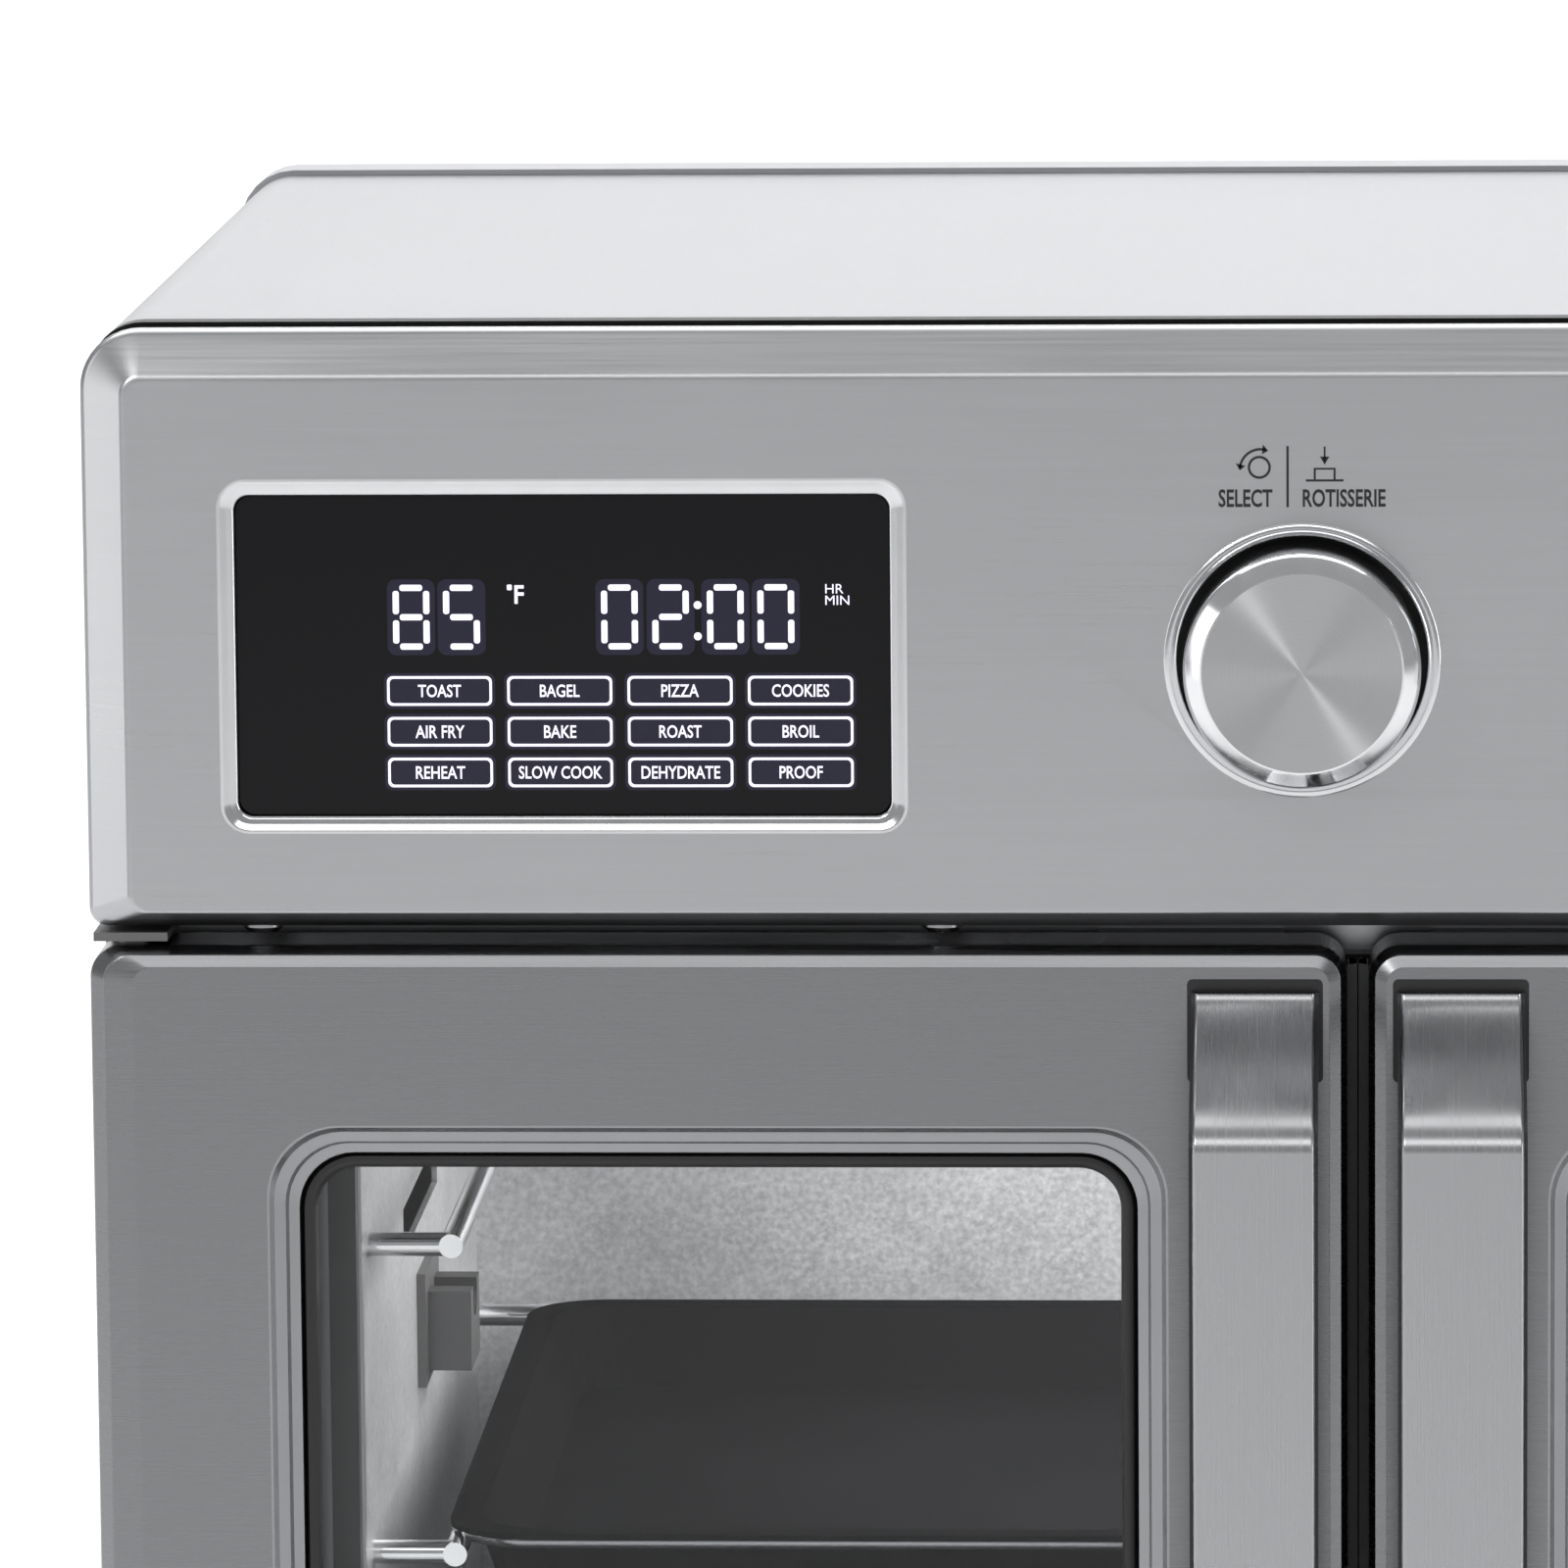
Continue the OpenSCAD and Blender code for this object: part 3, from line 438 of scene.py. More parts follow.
class OVEN_OT_fascia(bpy.types.Operator):
    """Pressed steel front with its display recess and three knob openings"""

    bl_idname = "oven.fascia"
    bl_label = "Control fascia"

    def execute(self, context):
        sizes = context.scene.oven_sizes
        low, high = FASCIA_LOW, FASCIA_HIGH
        seam_gap = 1.2 * MM
        rect = (low.x, high.x, low.z, high.z - seam_gap)
        borders = (sizes.side_border, sizes.side_border, sizes.low_border, sizes.top_border)
        profile = border_line(depth=11.5 * MM, shoulder=5.0 * MM, roll=2.6 * MM, tuck=1.1 * MM)
        bm = bmesh.new()
        rings = [rounded_ring(inset(rect, borders, t), corner_radii(sizes.corner, 3 * MM, t), FRONT + y)
                 for t, y in profile]
        rows = loft(bm, rings)
        lens = (LENS_LOW.x, LENS_HIGH.x, LENS_LOW.z, LENS_HIGH.z)
        rim_width = 2.9
        rim = filleted([(0, 0, 0), (0.5, 0, 0.5), (1.5, 0.5, 0.8), (2.75, 0.75, 0.9), (rim_width, 3.2, 0)], 5)
        rings = [rounded_ring(inset(lens, (o - rim_width) * MM), (4.6 - 0.8 * o) * MM, FRONT + y * MM)
                 for o, y in rim]
        holes = [[bm.verts.new(p) for p in rings[0]]]
        trim = bmesh.new()
        loft(trim, rings)
        finished(trim, "display_rim", "bright_rim", CASING, sharp=70)
        for x, z, radius in knob_openings():
            edge = ((0.9, 0), (0.35, 0.12), (0, 0.6), (0, 2.2))
            rings = [circle_ring((x, z), radius + o * MM, FRONT + y * MM) for o, y in edge]
            holes.append(loft(bm, rings)[0])
        fill(bm, rows[-1], *holes)
        finished(bm, "fascia_sheet", "panel_steel", CASING, replaces=["control_fascia"])
        self.seam((low.x, high.x, low.z, high.z))
        return {"FINISHED"}

    def seam(self, rect):
        """Black strip in the seam between the fascia and the cover, painted shade of the gap there."""
        bm = bmesh.new()
        lines = ((1.0, 11.0), (1.0, 15.5), (4.0, 15.5), (4.0, 11.0))
        loft(bm, [rounded_ring(inset(rect, o * MM), (9.8 - o) * MM, FRONT + y * MM) for o, y in lines])
        # The black strip here is painted shade in the gap under the cover's front edge.
        finished(bm, "fascia_seam_shade", "seal_black", CASING)


def border_line(depth, shoulder, roll, tuck=0.0, ease=()):
    """Cross-section of a pressed border: share of the border's width, and depth behind the flat face.

    The edge is rolled with a radius, slopes up to the flat face and tucks in behind. ease is a corner
    (share, depth) where the slope turns flatter."""
    scale = 7.5 * MM
    waist = shoulder + 0.45 * (depth - shoulder)
    corners = [(tuck, depth, 0), (tuck * 0.3, waist, 3 * MM), (0, shoulder, roll)]
    corners += [(share * scale, y, 0.8 * MM) for share, y in ease]
    corners += [(scale, 0, 2.0 * MM), (1.3 * scale, 0, 0)]
    return [(p.x / scale, p.y) for p in filleted(corners, 6)]


def corner_radii(outer, flat, share):
    """Lower and upper corner radius of the fascia's border. The upper one shrinks to the flat face's."""
    return (flat, outer + (flat - outer) * min(share, 1.0))


def knob_openings():
    """Centre and radius of each knob's opening."""
    gap = 2.3 * MM
    found = []
    for name in KNOBS:
        low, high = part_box(name + "_knob")
        centre = (low + high) / 2
        found.append((centre.x, centre.z, (high.x - low.x) / 2 + gap))
    return found


# ---------- Display ----------

HALO_BACK = 0.028 * MM
SEGMENTS = {"0": "abcdef", "2": "abged", "5": "afgcd", "8": "abcdefg"}
WORDS = (("TOAST", "BAGEL", "PIZZA", "COOKIES"), ("AIR FRY", "BAKE", "ROAST", "BROIL"),
         ("REHEAT", "SLOW COOK", "DEHYDRATE", "PROOF"))


def outline(bm, points, y, lift=0.05 * MM):
    """A thin flat plate from an outline of (x, z) points."""
    front = [bm.verts.new((x, y - lift, z)) for x, z in points]
    back = [bm.verts.new((x, y, z)) for x, z in points]
    bm.faces.new(front)
    for i in range(len(points)):
        bm.faces.new((front[i - 1], front[i], back[i], back[i - 1]))


def bar(bm, x0, x1, z0, z1, y):
    """A thin flat plate with square corners."""
    outline(bm, [(x0, z0), (x1, z0), (x1, z1), (x0, z1)], y)


def lamp_bar(bm, x0, x1, z0, z1, y):
    """One lit bar of a digit, with rounded ends."""
    plate_ring(bm, (x0, x1, z0, z1), 0.4 * MM, y)


def plate_ring(bm, rect, radius, y, line=None, steps=5):
    """A thin rounded plate, or its outline where line gives a width."""
    outer = rounded_ring(rect, radius, y, steps)
    lift = Vector((0, -0.05 * MM, 0))
    if line is None:
        rows = loft(bm, [outer, [p + lift for p in outer]])
        bm.faces.new(rows[-1])
        return
    inner = rounded_ring(inset(rect, line), radius - 0.5 * line, y, steps)
    loft(bm, [outer, [p + lift for p in outer], [p + lift for p in inner], inner])


def digit(bm, symbol, x, z, width, height, stroke, y):
    """A seven-bar digit whose lower left corner is at x, z."""
    slit = 0.12 * MM
    x1, x2 = x + stroke + slit, x + width - stroke - slit
    z1, z2 = z + (height - stroke) / 2, z + (height + stroke) / 2
    top = z + height
    bars = {
        "a": (x1, x2, top - stroke, top), "g": (x1, x2, z1, z2), "d": (x1, x2, z, z + stroke),
        "b": (x + width - stroke, x + width, z2, top - stroke), "f": (x, x + stroke, z2, top - stroke),
        "c": (x + width - stroke, x + width, z + stroke, z1), "e": (x, x + stroke, z + stroke, z1)}
    for key in SEGMENTS[symbol]:
        lamp_bar(bm, *bars[key], y)


def written(name, text, finish, place, height, y, narrow=0.8, bold=0.0, align=0.5):
    """Words in plain capitals. place is (x, lower z), and align says which share of the width is at x."""
    curve = bpy.data.curves.new(name, "FONT")
    curve.body = text
    curve.offset = bold
    curve.resolution_u = 3
    writer = bpy.data.objects.new(name + "_text", curve)
    bpy.context.scene.collection.objects.link(writer)
    mesh = bpy.data.meshes.new_from_object(writer.evaluated_get(bpy.context.evaluated_depsgraph_get()))
    bpy.data.objects.remove(writer)
    xs = [v.co.x for v in mesh.vertices]
    ys = [v.co.y for v in mesh.vertices]
    start, foot = min(xs) + align * (max(xs) - min(xs)), min(ys)
    scale = height / (max(ys) - foot)
    bm = bmesh.new()
    bm.from_mesh(mesh)
    bpy.data.meshes.remove(mesh)
    for v in bm.verts:
        v.co = Vector((place[0] + (v.co.x - start) * scale * narrow, y,
                       place[1] + (v.co.y - foot) * scale))
    made = bmesh.ops.extrude_face_region(bm, geom=bm.faces[:])
    verts = [v for v in made["geom"] if isinstance(v, bmesh.types.BMVert)]
    bmesh.ops.translate(bm, verts=verts, vec=(0, -0.04 * MM, 0))
    return finished(bm, name, finish, CASING)


class OVEN_OT_display(bpy.types.Operator):
    """Lit digits, unit marks and outlined function buttons behind the display lens"""

    bl_idname = "oven.display"
    bl_label = "Display"

    def execute(self, context):
        y = LENS_LOW.y - 0.03 * MM
        left, base = LENS_LOW.x, LENS_LOW.z
        width, height, stroke, halo = 5.9 * MM, 10.5 * MM, 1.0 * MM, 0.9 * MM
        z = base + 26.7 * MM
        bm, glow = bmesh.new(), bmesh.new()
        for symbol, place in (("8", 25.1), ("5", 33.2), ("0", 58.6), ("2", 66.8), ("0", 75.6), ("0", 83.7)):
            x = left + place * MM
            digit(bm, symbol, x, z, width, height, stroke, y)
            plate_ring(glow, inset((x, x + width, z, z + height), -halo), 1.4 * MM, y + HALO_BACK)
        for share in (0.2, 0.68):
            outline(bm, ring_points(left + 74.1 * MM, z + share * height, 0.65 * MM), y)
        unit = left + 43.5 * MM
        plate_ring(bm, (unit, unit + 0.8 * MM, z + height - 0.9 * MM, z + height), 0.2 * MM, y)
        finished(bm, "display_digits", "display_light", CASING)
        written("display_unit", "F", "display_light", (unit + 1.2 * MM, z + height - 3.1 * MM),
                3.0 * MM, y, narrow=0.9, bold=0.02, align=0)
        for row, text in enumerate(("HR", "MIN")):
            written(f"display_{text.lower()}", text, "display_light",
                    (left + 94.6 * MM, z + height - (1.5 + row * 1.85) * MM), 1.5 * MM, y,
                    narrow=1.05, align=0)
        self.buttons(left, base, y, glow)
        return {"FINISHED"}

    def buttons(self, left, base, y, glow):
        bm = bmesh.new()
        width, height, pitch_x, pitch_z = 16.9 * MM, 4.8 * MM, 19.35 * MM, 6.62 * MM
        for row, words in enumerate(WORDS):
            for column, text in enumerate(words):
                x0 = left + 24.0 * MM + column * pitch_x
                z0 = base + 17.6 * MM - row * pitch_z
                rect = (x0, x0 + width, z0, z0 + height)
                plate_ring(bm, rect, 0.9 * MM, y, line=0.42 * MM)
                plate_ring(glow, inset(rect, -0.5 * MM), 1.2 * MM, y + HALO_BACK)
                written("word_" + text.replace(" ", "_").lower(), text, "display_light",
                        (x0 + width / 2, z0 + height / 2 - 1.03 * MM), 2.06 * MM, y, narrow=0.78, bold=0.014)
        finished(bm, "button_outlines", "display_light", CASING)
        finished(glow, "display_halo", "display_halo", CASING)


def ring_points(x, z, radius, steps=12):
    return [(x + radius * math.cos(math.tau * i / steps), z + radius * math.sin(math.tau * i / steps))
            for i in range(steps)]


# ---------- Knobs ----------

class OVEN_OT_knobs(bpy.types.Operator):
    """Turned knobs with a spun face and a polished edge, and the rims of their cups"""

    bl_idname = "oven.knobs"
    bl_label = "Knobs"

    def execute(self, context):
        for name, (x, z, opening) in zip(KNOBS, knob_openings()):
            low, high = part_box(name + "_knob")
            self.knob(name, x, z, low, high)
            bm = bmesh.new()
            rim = ((-1.3, 0.6), (-0.9, -0.1), (-0.1, -0.45), (0.75, -0.3), (1.0, 0.15))
            lathe(bm, [(opening + o * MM, FRONT + d * MM) for o, d in rim], (x, z))
            finished(bm, name + "_rim", "bright_rim", CASING, sharp=60)
        return {"FINISHED"}

    def knob(self, name, x, z, low, high):
        """A knob in three parts. Each is made round local Z, which the rings of its finish follow."""
        radius = (high.x - low.x) / 2
        reach = high.y - low.y
        turned = Matrix.Translation((x, low.y, z)) @ Matrix.Rotation(math.radians(90), 4, "X")
        face = [(0.0, 0.16 * MM), (0.5 * MM, 0.12 * MM), (radius - 3.0 * MM, 0.0)]
        edge = [(radius - 3.0 * MM, 0.0), (radius - 2.7 * MM, 0.02 * MM), (radius - 2.3 * MM, 0.35 * MM),
                (radius - 0.55 * MM, 1.95 * MM), (radius - 0.1 * MM, 2.5 * MM), (radius, 3.1 * MM)]
        side = [(radius, 3.1 * MM), (radius, reach - 0.6 * MM), (radius - 0.5 * MM, reach), (7.0 * MM, reach)]
        steps = 128
        for part, profile, finish in (("face", face, "knob_metal"), ("edge", edge, "knob_edge"),
                                      ("side", side, "knob_edge")):
            bm = bmesh.new()
            rings = [[Vector((r * math.cos(a), r * math.sin(a), -d)) for a in
                      (math.tau * i / steps for i in range(steps))] for r, d in profile if r > 0]
            rows = loft(bm, rings)
            if profile[0][0] == 0:
                bm.faces.new(rows[0])
            piece = finished(bm, f"{name}_knob_{part}", finish, name + "_turn", sharp=30,
                             replaces=[name + "_knob"])
            piece.matrix_world = turned
            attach(piece, name + "_turn")


# ---------- Printed marks ----------

class OVEN_OT_panel_print(bpy.types.Operator):
    """Black marks above the knobs: what turning does and what pressing does"""

    bl_idname = "oven.panel_print"
    bl_label = "Printed marks"

    def execute(self, context):
        labels = {"select": ("SELECT", "ROTISSERIE"), "temperature": ("TEMP", "LIGHT"),
                  "time": ("TIME", "START")}
        y = FRONT - 0.01 * MM
        for name, (x, z, _) in zip(KNOBS, knob_openings()):
            turn, press = labels[name]
            bar_x, low = x - 2.3 * MM, z + 24.7 * MM
            bar_half, bar_tall = 0.2 * MM, 9.8 * MM
            bm = bmesh.new()
            bar(bm, bar_x - bar_half, bar_x + bar_half, low, low + bar_tall, y)
            self.turn_mark(bm, bar_x - 4.5 * MM, low + 6.4 * MM, y)
            self.press_mark(bm, bar_x + 5.9 * MM, low + 4.1 * MM, y)
            finished(bm, name + "_marks", "print_black", CASING)
            for text, place, align in ((turn, bar_x - 2.4 * MM, 1.0), (press, bar_x + 2.4 * MM, 0.0)):
                written(f"{name}_{text.lower()}", text, "print_black", (place, low),
                        2.9 * MM, y, narrow=0.68, bold=0.022, align=align)
        return {"FINISHED"}

    def turn_mark(self, bm, x, z, y):
        """A small circle with an arrow bent round it."""
        ring = [circle_ring((x, z), r * MM, y, 32) for r in (1.45, 1.85)]
        front = [[p - Vector((0, 0.05 * MM, 0)) for p in r] for r in ring]
        loft(bm, [ring[0], front[0], front[1], ring[1]])
        centre_x, centre_z = x + 0.2 * MM, z - 0.4 * MM

        def on_arc(radius, degrees):
            a = math.radians(degrees)
            return (centre_x + radius * MM * math.cos(a), centre_z + radius * MM * math.sin(a))

        bend = [75 + 100 * i / 12 for i in range(13)]
        outline(bm, [on_arc(3.5, a) for a in bend] + [on_arc(3.1, a) for a in reversed(bend)], y)
        for tip, base in ((68, 85), (182, 165)):
            outline(bm, [on_arc(3.3, tip), on_arc(4.1, base), on_arc(2.5, base)], y)

    def press_mark(self, bm, x, z, y):
        """A button on a base line with an arrow down to it."""
        for x0, x1, z0, z1 in ((-3.0, 3.0, 0, 0.35), (-1.75, -1.4, 0.35, 1.9), (1.4, 1.75, 0.35, 1.9),
                               (-1.75, 1.75, 1.9, 2.2), (-0.15, 0.15, 3.3, 5.6)):
            bar(bm, x + x0 * MM, x + x1 * MM, z + z0 * MM, z + z1 * MM, y)
        outline(bm, [(x - 0.75 * MM, z + 4.0 * MM), (x, z + 2.7 * MM), (x + 0.75 * MM, z + 4.0 * MM)], y)


# ---------- Doors ----------

def mirrored(rect, side):
    """rect of the left door, or its mirror image for the right one."""
    x0, x1, z0, z1 = rect
    return rect if side < 0 else (-x1, -x0, z0, z1)


class OVEN_OT_doors(bpy.types.Operator):
    """Door fronts with their pressed borders and window steps, and the window gaskets"""

    bl_idname = "oven.doors"
    bl_label = "Doors"

    def execute(self, context):
        sizes = context.scene.oven_sizes
        for side_name, side in SIDES.items():
            self.front(side_name, side, sizes)
            self.gasket(side_name, side)
            self.seal_lip(side_name, side)
        return {"FINISHED"}

    def front(self, side_name, side, sizes):
        rect = mirrored((DOOR_LOW.x, DOOR_HIGH.x, DOOR_LOW.z, DOOR_HIGH.z), side)
        wide, narrow = sizes.side_border, sizes.door_border
        borders = (wide, narrow, narrow, narrow) if side < 0 else (narrow, wide, narrow, narrow)
        profile = border_line(DOOR_HIGH.y - DOOR_LOW.y, 4.4 * MM, 2.2 * MM, ease=[(0.35, 0.9 * MM)])
        bm = bmesh.new()
        rows = loft(bm, [rounded_ring(inset(rect, borders, t), (5.2 - 2.4 * min(t, 1)) * MM, FRONT + y)
                         for t, y in profile])
        window = mirrored((GASKET_LOW.x, GASKET_HIGH.x, GASKET_LOW.z, GASKET_HIGH.z), side)
        across = 5.4
        step = filleted([(0, 0, 0), (0.3, 0, 0.4), (1.2, 1.0, 0.5), (2.9, 1.3, 0.4), (3.3, 2.7, 0.25),
                         (5.0, 3.1, 0.4), (across, 5.4, 0)], 4)
        rings = [rounded_ring(inset(window, -sizes.bezel, 1 - o / across), (11.8 - 2.9 * o / across) * MM,
                              FRONT + y * MM) for o, y in step]
        fill(bm, rows[-1], [bm.verts.new(p) for p in rings[0]])
        bezel = bmesh.new()
        loft(bezel, rings)
        for mesh, part, finish in ((bm, "door_front", "door_steel"), (bezel, "window_bezel", "bezel_sheen_steel")):
            finished(mesh, f"{side_name}_{part}", finish, side_name + "_door",
                     replaces=[side_name + "_door_shell"], thick=0.9 * MM)

    def gasket(self, side_name, side):
        window = mirrored((GASKET_LOW.x, GASKET_HIGH.x, GASKET_LOW.z, GASKET_HIGH.z), side)
        profile = [(-0.1, 6.0), (0.0, 4.6), (0.35, 3.9), (1.0, 3.7), (1.7, 3.9), (2.2, 4.5), (2.35, 6.0)]
        bm = bmesh.new()
        loft(bm, [rounded_ring(inset(window, o * MM), (8.9 - 0.9 * o) * MM, FRONT + y * MM)
                  for o, y in profile])
        finished(bm, side_name + "_gasket_ring", "seal_black", side_name + "_door",
                 replaces=[side_name + "_window_gasket"])

    def seal_lip(self, side_name, side):
        """Soft lip of the seal at the split, which touches the lip of the other door."""
        low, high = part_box(side_name + "_meeting_seal")
        middle, half = (low.y + high.y) / 2, (high.y - low.y) / 2
        width, squeeze = 1.4 * MM, 0.03 * MM
        arc = [math.pi * (i / 12 - 0.5) for i in range(13)]
        section = [(side * (width - (width + squeeze) * math.cos(a)), middle + half * math.sin(a))
                   for a in arc]
        bm = bmesh.new()
        rows = loft(bm, [[Vector((x, y, z)) for x, y in section] for z in (low.z, high.z)])
        for row in rows:
            bm.faces.new(row)
        finished(bm, side_name + "_seal_lip", "seal_black", side_name + "_door")


# ---------- Handles ----------

class OVEN_OT_handles(bpy.types.Operator):
    """Strap handles whose ends run down to the doors in an S, on dark plates of painted shade"""

    bl_idname = "oven.handles"
    bl_label = "Handles"

    def execute(self, context):
        for side_name in SIDES:
            low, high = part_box(side_name + "_door_handle")
            self.strap(side_name, low, high)
            self.end_shades(side_name, low, high)
        return {"FINISHED"}

    def centre_line(self, low, high, thick, rise=20 * MM, steps=18):
        """(depth, z) points of the strap's middle, from its upper to its lower end."""
        reach = high.y - low.y - thick
        half = [(high.y - thick / 2 - reach * (1 - math.cos(math.pi * i / steps)) / 2,
                 high.z - 1.2 * MM - rise * (i / steps)) for i in range(steps + 1)]
        middle = (low.z + high.z) / 2
        return half + [(y, 2 * middle - z) for y, z in reversed(half)]

    def strap(self, side_name, low, high):
        """The steel strap, and behind it a slightly wider black strip that shows as a dark line at both
        sides: painted shade and dark reflection of the strap's edges.
        """
        thick, edge, lip = 2.6 * MM, 0.7 * MM, 0.5 * MM
        line = self.centre_line(low, high, thick)
        x0, x1 = low.x + lip, high.x - lip
        steel = [(x0 + edge, -1), (x1 - edge, -1), (x1 - edge * 0.3, -0.8), (x1, -0.4), (x1, 0.45),
                 (x0, 0.45), (x0, -0.4), (x0 + edge * 0.3, -0.8)]
        # Black strip a little wider than the strap: painted shade along the strap's sides.
        shade_strip = [(low.x, 0.1), (high.x, 0.1), (high.x, 1), (low.x, 1)]
        self.swept(side_name + "_strap", "handle_steel", side_name, steel, line, thick)
        self.swept(side_name + "_strap_side_shade", "seal_black", side_name, shade_strip, line, thick)

    def swept(self, name, finish, side_name, section, line, thick):
        """Sweeps a section of (x, share of half the thickness) along the strap's line."""
        bm = bmesh.new()
        rings = []
        last = len(line) - 1
        for i, (y, z) in enumerate(line):
            before, after = line[max(i - 1, 0)], line[min(i + 1, last)]
            along = Vector((after[0] - before[0], after[1] - before[1])).normalized()
            out = Vector((-1, 0)) if i in (0, last) else Vector((along.y, -along.x))
            out = -out if out.x > 0 else out
            rings.append([Vector((x, y - out.x * t * thick / 2, z - out.y * t * thick / 2))
                          for x, t in section])
        rows = loft(bm, rings)
        bm.faces.new(rows[0])
        bm.faces.new(rows[-1])
        finished(bm, name, finish, side_name + "_door", sharp=50, replaces=[side_name + "_door_handle"])

    def end_shades(self, side_name, low, high):
        """Thin dark plates between the strap's ends and the door, painted shade round the ends where they
        meet the door.
        """
        bm = bmesh.new()
        lip, over, tall = 0.7 * MM, 0.8 * MM, 16 * MM
        for z0, z1 in ((high.z - tall, high.z + over), (low.z - over, low.z + tall)):
            rect = (low.x - lip, high.x + lip, z0, z1)
            rows = loft(bm, [rounded_ring(rect, 0.9 * MM, FRONT + y * MM, 4) for y in (0.5, -0.12)])
            fill(bm, rows[-1])
        # These dark plates are painted shade round the strap's ends.
        finished(bm, side_name + "_handle_end_shades", "seal_black", side_name + "_door")


# ---------- Casing ----------

class OVEN_OT_cover(bpy.types.Operator):
    """Folded cover over the top and the sides, with its raised lines and side vents"""

    bl_idname = "oven.cover"
    bl_label = "Cover"

    def execute(self, context):
        low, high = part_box("cabinet_wrap")
        front, rear = low.y + 1.1 * MM, high.y
        front_fold = FRONT + 22 * MM
        vent_height = 4 * MM
        vent_feet = [high.z - (59 + 9 * i) * MM for i in range(8)]
        vents = (rear - 109 * MM, rear - 59 * MM)
        ridge, ridge_half, ridge_rise = 178.5 * MM, 2.5 * MM, 0.6 * MM
        ridge_ends = (low.y + 29 * MM, low.y + 42 * MM, rear - 47 * MM, rear - 34 * MM)
        section = self.section(low, high, context.scene.oven_sizes.corner - 1 * MM,
                               {*vent_feet, *(z + vent_height for z in vent_feet)},
                               [-ridge - ridge_half, -ridge, -ridge + ridge_half])
        stations = sorted({front, front + 0.6 * MM, front_fold, *vents, *ridge_ends, rear})
        bm = bmesh.new()
        grid = []
        for y in stations:
            row = []
            for x, z, on_side in section:
                rolled = 0.25 * MM if y == front and not on_side else 0
                raised = ridge_ends[1] <= y <= ridge_ends[2] and abs(abs(x) - ridge) < NEAR
                row.append(bm.verts.new((x, y, z - rolled + (ridge_rise if raised else 0))))
            grid.append(row)
        for row_a, row_b, y in zip(grid, grid[1:], stations):
            for i, (here, beyond) in enumerate(zip(section, section[1:])):
                middle = (here[1] + beyond[1]) / 2
                on_side = here[2] and beyond[2]
                in_vent = on_side and any(z < middle < z + vent_height for z in vent_feet)
                if in_vent and vents[0] - NEAR <= y < vents[1] - NEAR:
                    continue
                beside_door = on_side and y < front_fold - NEAR and middle < FASCIA_LOW.z
                if beside_door:
                    continue
                bm.faces.new((row_a[i], row_a[i + 1], row_b[i + 1], row_b[i]))
        finished(bm, "cover_sheet", "cover_steel", CASING, replaces=["cabinet_wrap"], thick=0.95 * MM)
        return {"FINISHED"}

    def section(self, low, high, radius, levels, across, steps=14):
        """(x, z, whether on the flat side) from the left foot over the top to the right foot.

        levels are extra heights on the sides, and across are the extra places on the top's left half."""
        half = [(low.x, z, True) for z in sorted({low.z, high.z - radius, *levels})]
        centre_x, centre_z = low.x + radius, high.z - radius
        half += [(centre_x - radius * math.cos(a), centre_z + radius * math.sin(a), False)
                 for a in (math.pi / 2 * i / steps for i in range(1, steps))]
        half += [(x, high.z, False) for x in (low.x + radius, *across)]
        return half + [(-x, z, on_side) for x, z, on_side in reversed(half)]


class OVEN_OT_tray_bead(bpy.types.Operator):
    """Rolled rim of the baking tray"""

    bl_idname = "oven.tray_bead"
    bl_label = "Tray rim"

    def execute(self, context):
        low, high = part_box("baking_tray")
        radius, corner, steps = 1.3 * MM, 14 * MM, 12
        bm = bmesh.new()
        rings = []
        for a in (math.tau * i / steps for i in range(steps)):
            reach = radius * (1 + math.cos(a))
            flat = rounded_ring(inset((low.x, high.x, low.y, high.y), reach), corner - reach, 0)
            rings.append([Vector((p.x, p.z, high.z - radius + radius * math.sin(a))) for p in flat])
        loft(bm, rings + rings[:1])
        finished(bm, "tray_bead", "bead_steel", CASING, sharp=180)
        return {"FINISHED"}


# ---------- Stage ----------

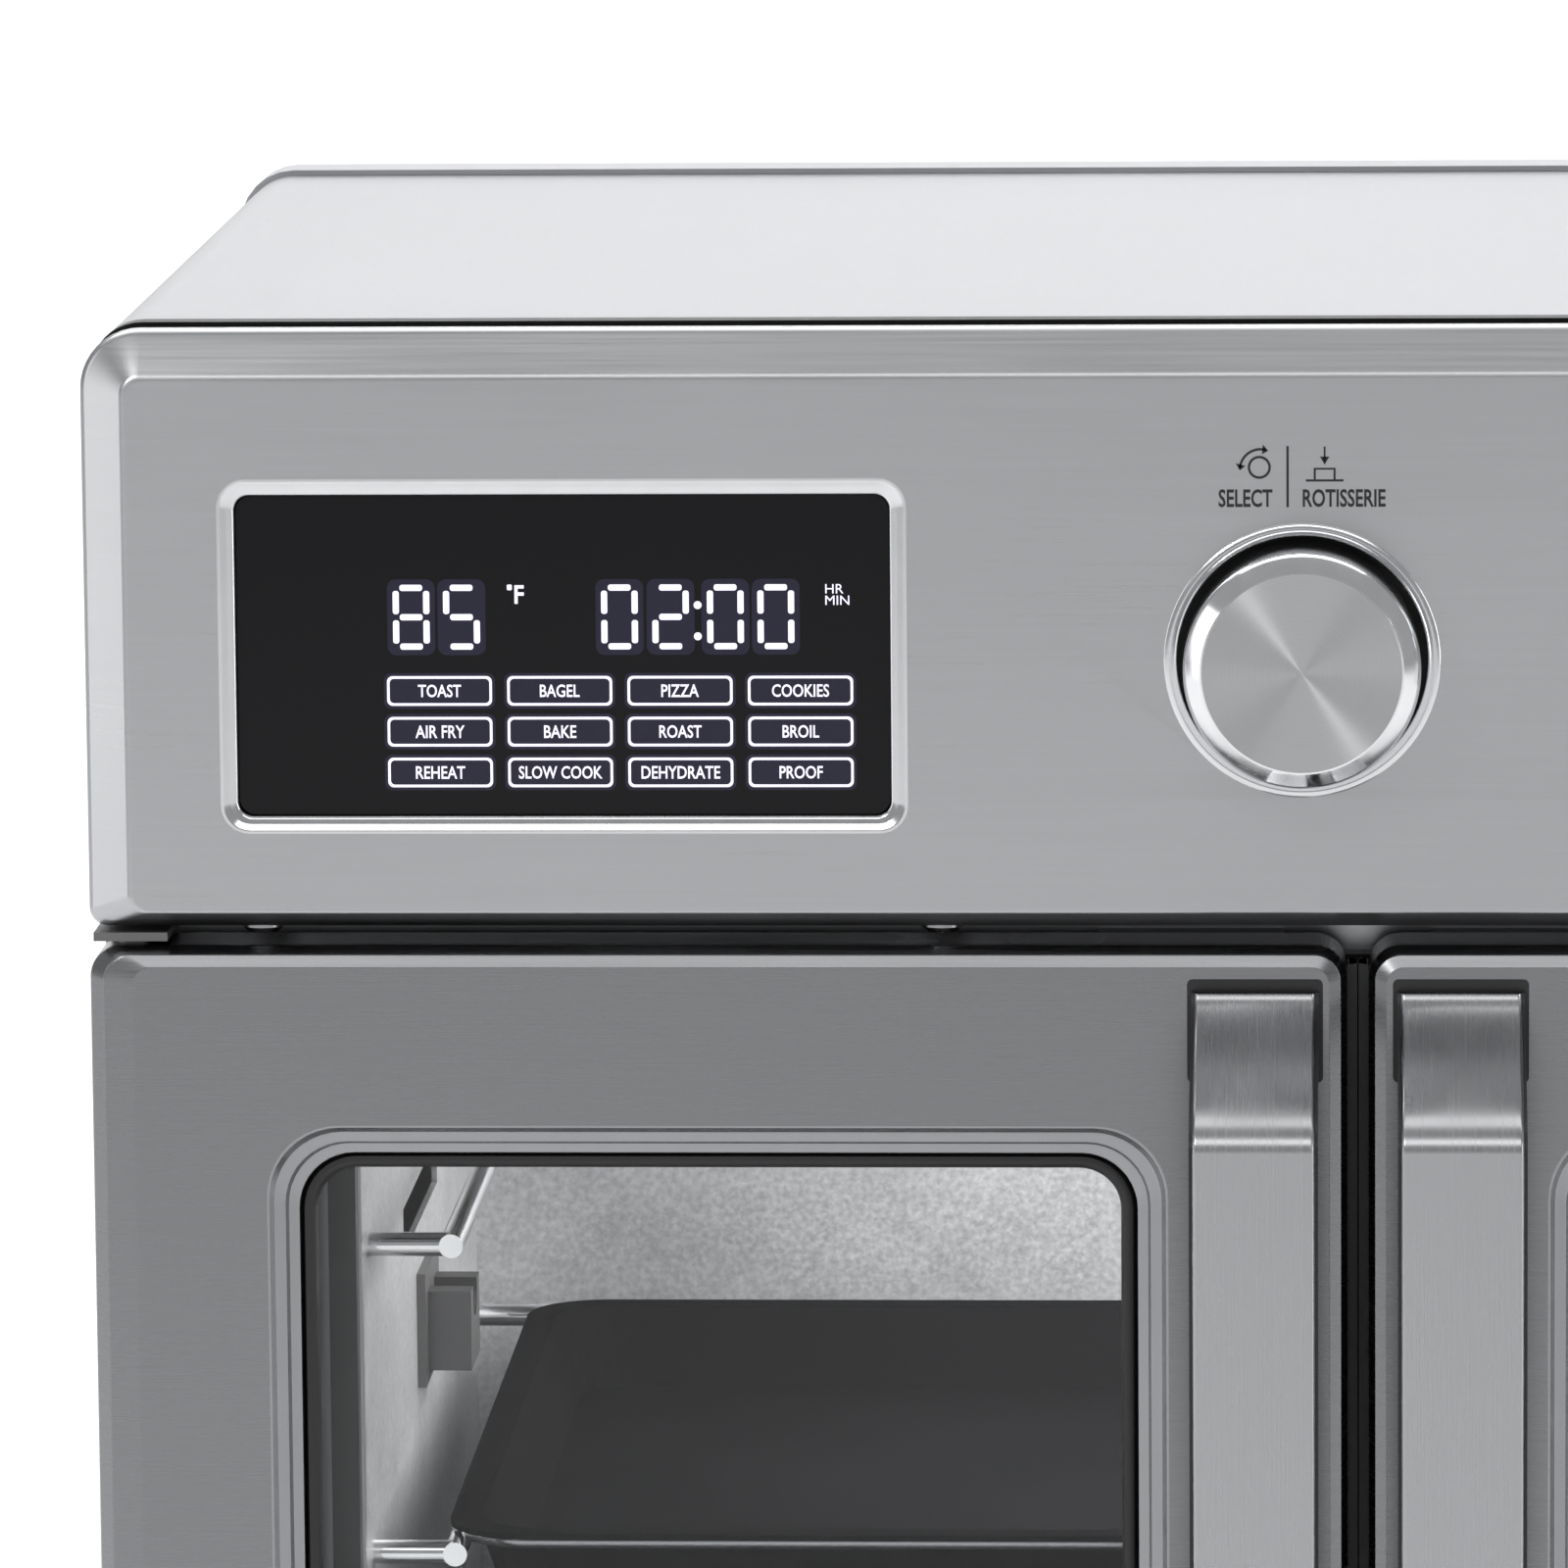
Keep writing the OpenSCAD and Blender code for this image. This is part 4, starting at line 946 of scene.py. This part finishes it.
class OVEN_OT_stage(bpy.types.Operator):
    """Pale floor and backdrop, soft lights and the camera"""

    bl_idname = "oven.stage"
    bl_label = "Stage"

    def execute(self, context):
        self.floor()
        self.lights()
        self.camera(context)
        return {"FINISHED"}

    def floor(self):
        """Floor that bends up into the backdrop, in one sweep. Sizes are in metres."""
        bm = bmesh.new()
        front, back, rise, half = -7.0, 5.6, 3.2, 7.0
        curve, steps = 1.2, 16
        bend = [math.pi / 2 * i / steps for i in range(steps + 1)]
        line = [(front, 0.0)]
        line += [(back - curve + curve * math.sin(a), curve - curve * math.cos(a)) for a in bend]
        line += [(back, rise)]
        rows = [[bm.verts.new((x, y, z)) for y, z in line] for x in (-half, half)]
        for i in range(len(line) - 1):
            bm.faces.new((rows[0][i], rows[1][i], rows[1][i + 1], rows[0][i + 1]))
        mesh = bpy.data.meshes.new("floor")
        bm.to_mesh(mesh)
        bm.free()
        floor = bpy.data.objects.new("floor", mesh)
        bpy.context.scene.collection.objects.link(floor)
        for polygon in mesh.polygons:
            polygon.use_smooth = True
        paper = Finish("floor_paper", base_color=(0.86, 0.86, 0.865, 1), roughness=0.9)
        mesh.materials.append(paper.material)

    def lights(self):
        """Soft boxes: where each stands, what it faces, its two sides in metres and its power in watts.

        The last one hangs under the cavity's roof and stands for the oven lamp's glow."""
        for name, place, aim, wide, tall, power in (
                ("key", (-1.25, -1.75, 1.65), (0, 0, 0.3), 0.3, 0.3, 15),
                ("overhead", (0.0, 0.45, 2.3), (0, 0.1, 0.3), 3.0, 1.6, 22),
                ("front_floor", (0.0, -2.5, 2.1), (0, -2.5, 0), 2.6, 1.4, 24),
                ("left_strip", (-1.7, -0.45, 0.55), (-0.1, -0.1, 0.25), 0.45, 1.3, 2.5),
                ("right_strip", (1.9, -0.9, 0.6), (0.1, -0.1, 0.25), 0.30, 1.2, 6),
                ("rear", (0.0, 0.9, 2.2), (0, 1.9, 0.0), 3.4, 0.8, 36),
                ("backdrop", (0.0, 3.4, 2.6), (0, 4.2, 0.0), 3.4, 1.2, 80)):
            lamp = self.soft_box(name, place, wide, tall, power)
            lamp.rotation_euler = (Vector(aim) - Vector(place)).to_track_quat("-Z", "Y").to_euler()
        low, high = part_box("cavity_liner")
        under_roof = (0, (low.y + high.y) / 2, high.z - 24 * MM)
        glow = self.soft_box("cavity_light", under_roof, 0.22, 0.14, 0.8)
        glow.visible_camera = False
        world = bpy.data.worlds.new("studio")
        world.use_nodes = True
        background = world.node_tree.nodes["Background"]
        background.inputs["Color"].default_value = (0.97, 0.98, 1.0, 1)
        background.inputs["Strength"].default_value = 0.36
        bpy.context.scene.world = world
        bpy.context.scene.view_settings.view_transform = "Standard"

    def soft_box(self, name, place, wide, tall, power):
        """A rectangular light that shines straight down until it is turned."""
        light = bpy.data.lights.new(name, "AREA")
        light.shape = "RECTANGLE"
        light.size, light.size_y = wide, tall
        light.energy = power
        lamp = bpy.data.objects.new(name, light)
        bpy.context.scene.collection.objects.link(lamp)
        lamp.location = place
        return lamp

    def camera(self, context):
        data = bpy.data.cameras.new("camera")
        data.lens = 248.9
        data.sensor_width = 36
        data.clip_end = 50
        camera = bpy.data.objects.new("camera", data)
        context.scene.collection.objects.link(camera)
        stand = (0.0003, FRONT - 1.7164, 0.5410)
        yaw, pitch, roll = (math.radians(a) for a in (3.074, 8.587, -0.499))
        camera.matrix_world = (Matrix.Translation(stand) @ Matrix.Rotation(yaw, 4, "Z")
                               @ Matrix.Rotation(math.pi / 2 - pitch, 4, "X") @ Matrix.Rotation(roll, 4, "Z"))
        context.scene.camera = camera


# ---------- Finishes of the carried-over nodes ----------

class OVEN_OT_finishes(bpy.types.Operator):
    """Makes every finish and gives each node of the model its own"""

    bl_idname = "oven.finishes"
    bl_label = "Finishes"

    def execute(self, context):
        FINISHES.update(make_finishes(context.scene.oven_colors))
        for part in frame["record"]["subparts"]:
            node = frame["nodes"][part["node"]]
            material = FINISHES[part["material_slot"]]
            if not node.material_slots:
                node.data.materials.append(material)
            for slot in node.material_slots:
                slot.material = material
        return {"FINISHED"}


OPERATORS = (OVEN_OT_stage, OVEN_OT_finishes, OVEN_OT_fascia, OVEN_OT_display, OVEN_OT_knobs,
             OVEN_OT_panel_print, OVEN_OT_doors, OVEN_OT_handles, OVEN_OT_cover, OVEN_OT_tray_bead)


class OVEN_PT_sidebar(bpy.types.Panel):
    """Lists the oven's pieces"""

    bl_idname = "OVEN_PT_sidebar"
    bl_label = "Toaster Oven"
    bl_space_type = "VIEW_3D"
    bl_region_type = "UI"
    bl_category = "Oven"

    def draw(self, context):
        for operator in OPERATORS:
            self.layout.operator(operator.bl_idname)
        for group in (context.scene.oven_sizes, context.scene.oven_colors):
            for key in group.__annotations__:
                self.layout.prop(group, key)


CLASSES = (OvenSizes, OvenColors, *OPERATORS, OVEN_PT_sidebar)


def register():
    for cls in CLASSES:
        bpy.utils.register_class(cls)
    bpy.types.Scene.oven_sizes = PointerProperty(type=OvenSizes)
    bpy.types.Scene.oven_colors = PointerProperty(type=OvenColors)


def unregister():
    del bpy.types.Scene.oven_colors
    del bpy.types.Scene.oven_sizes
    for cls in reversed(CLASSES):
        bpy.utils.unregister_class(cls)


def main():
    register()
    for operator in OPERATORS:
        group, name = operator.bl_idname.split(".")
        getattr(getattr(bpy.ops, group), name)()


if __name__ == "__main__":
    main()
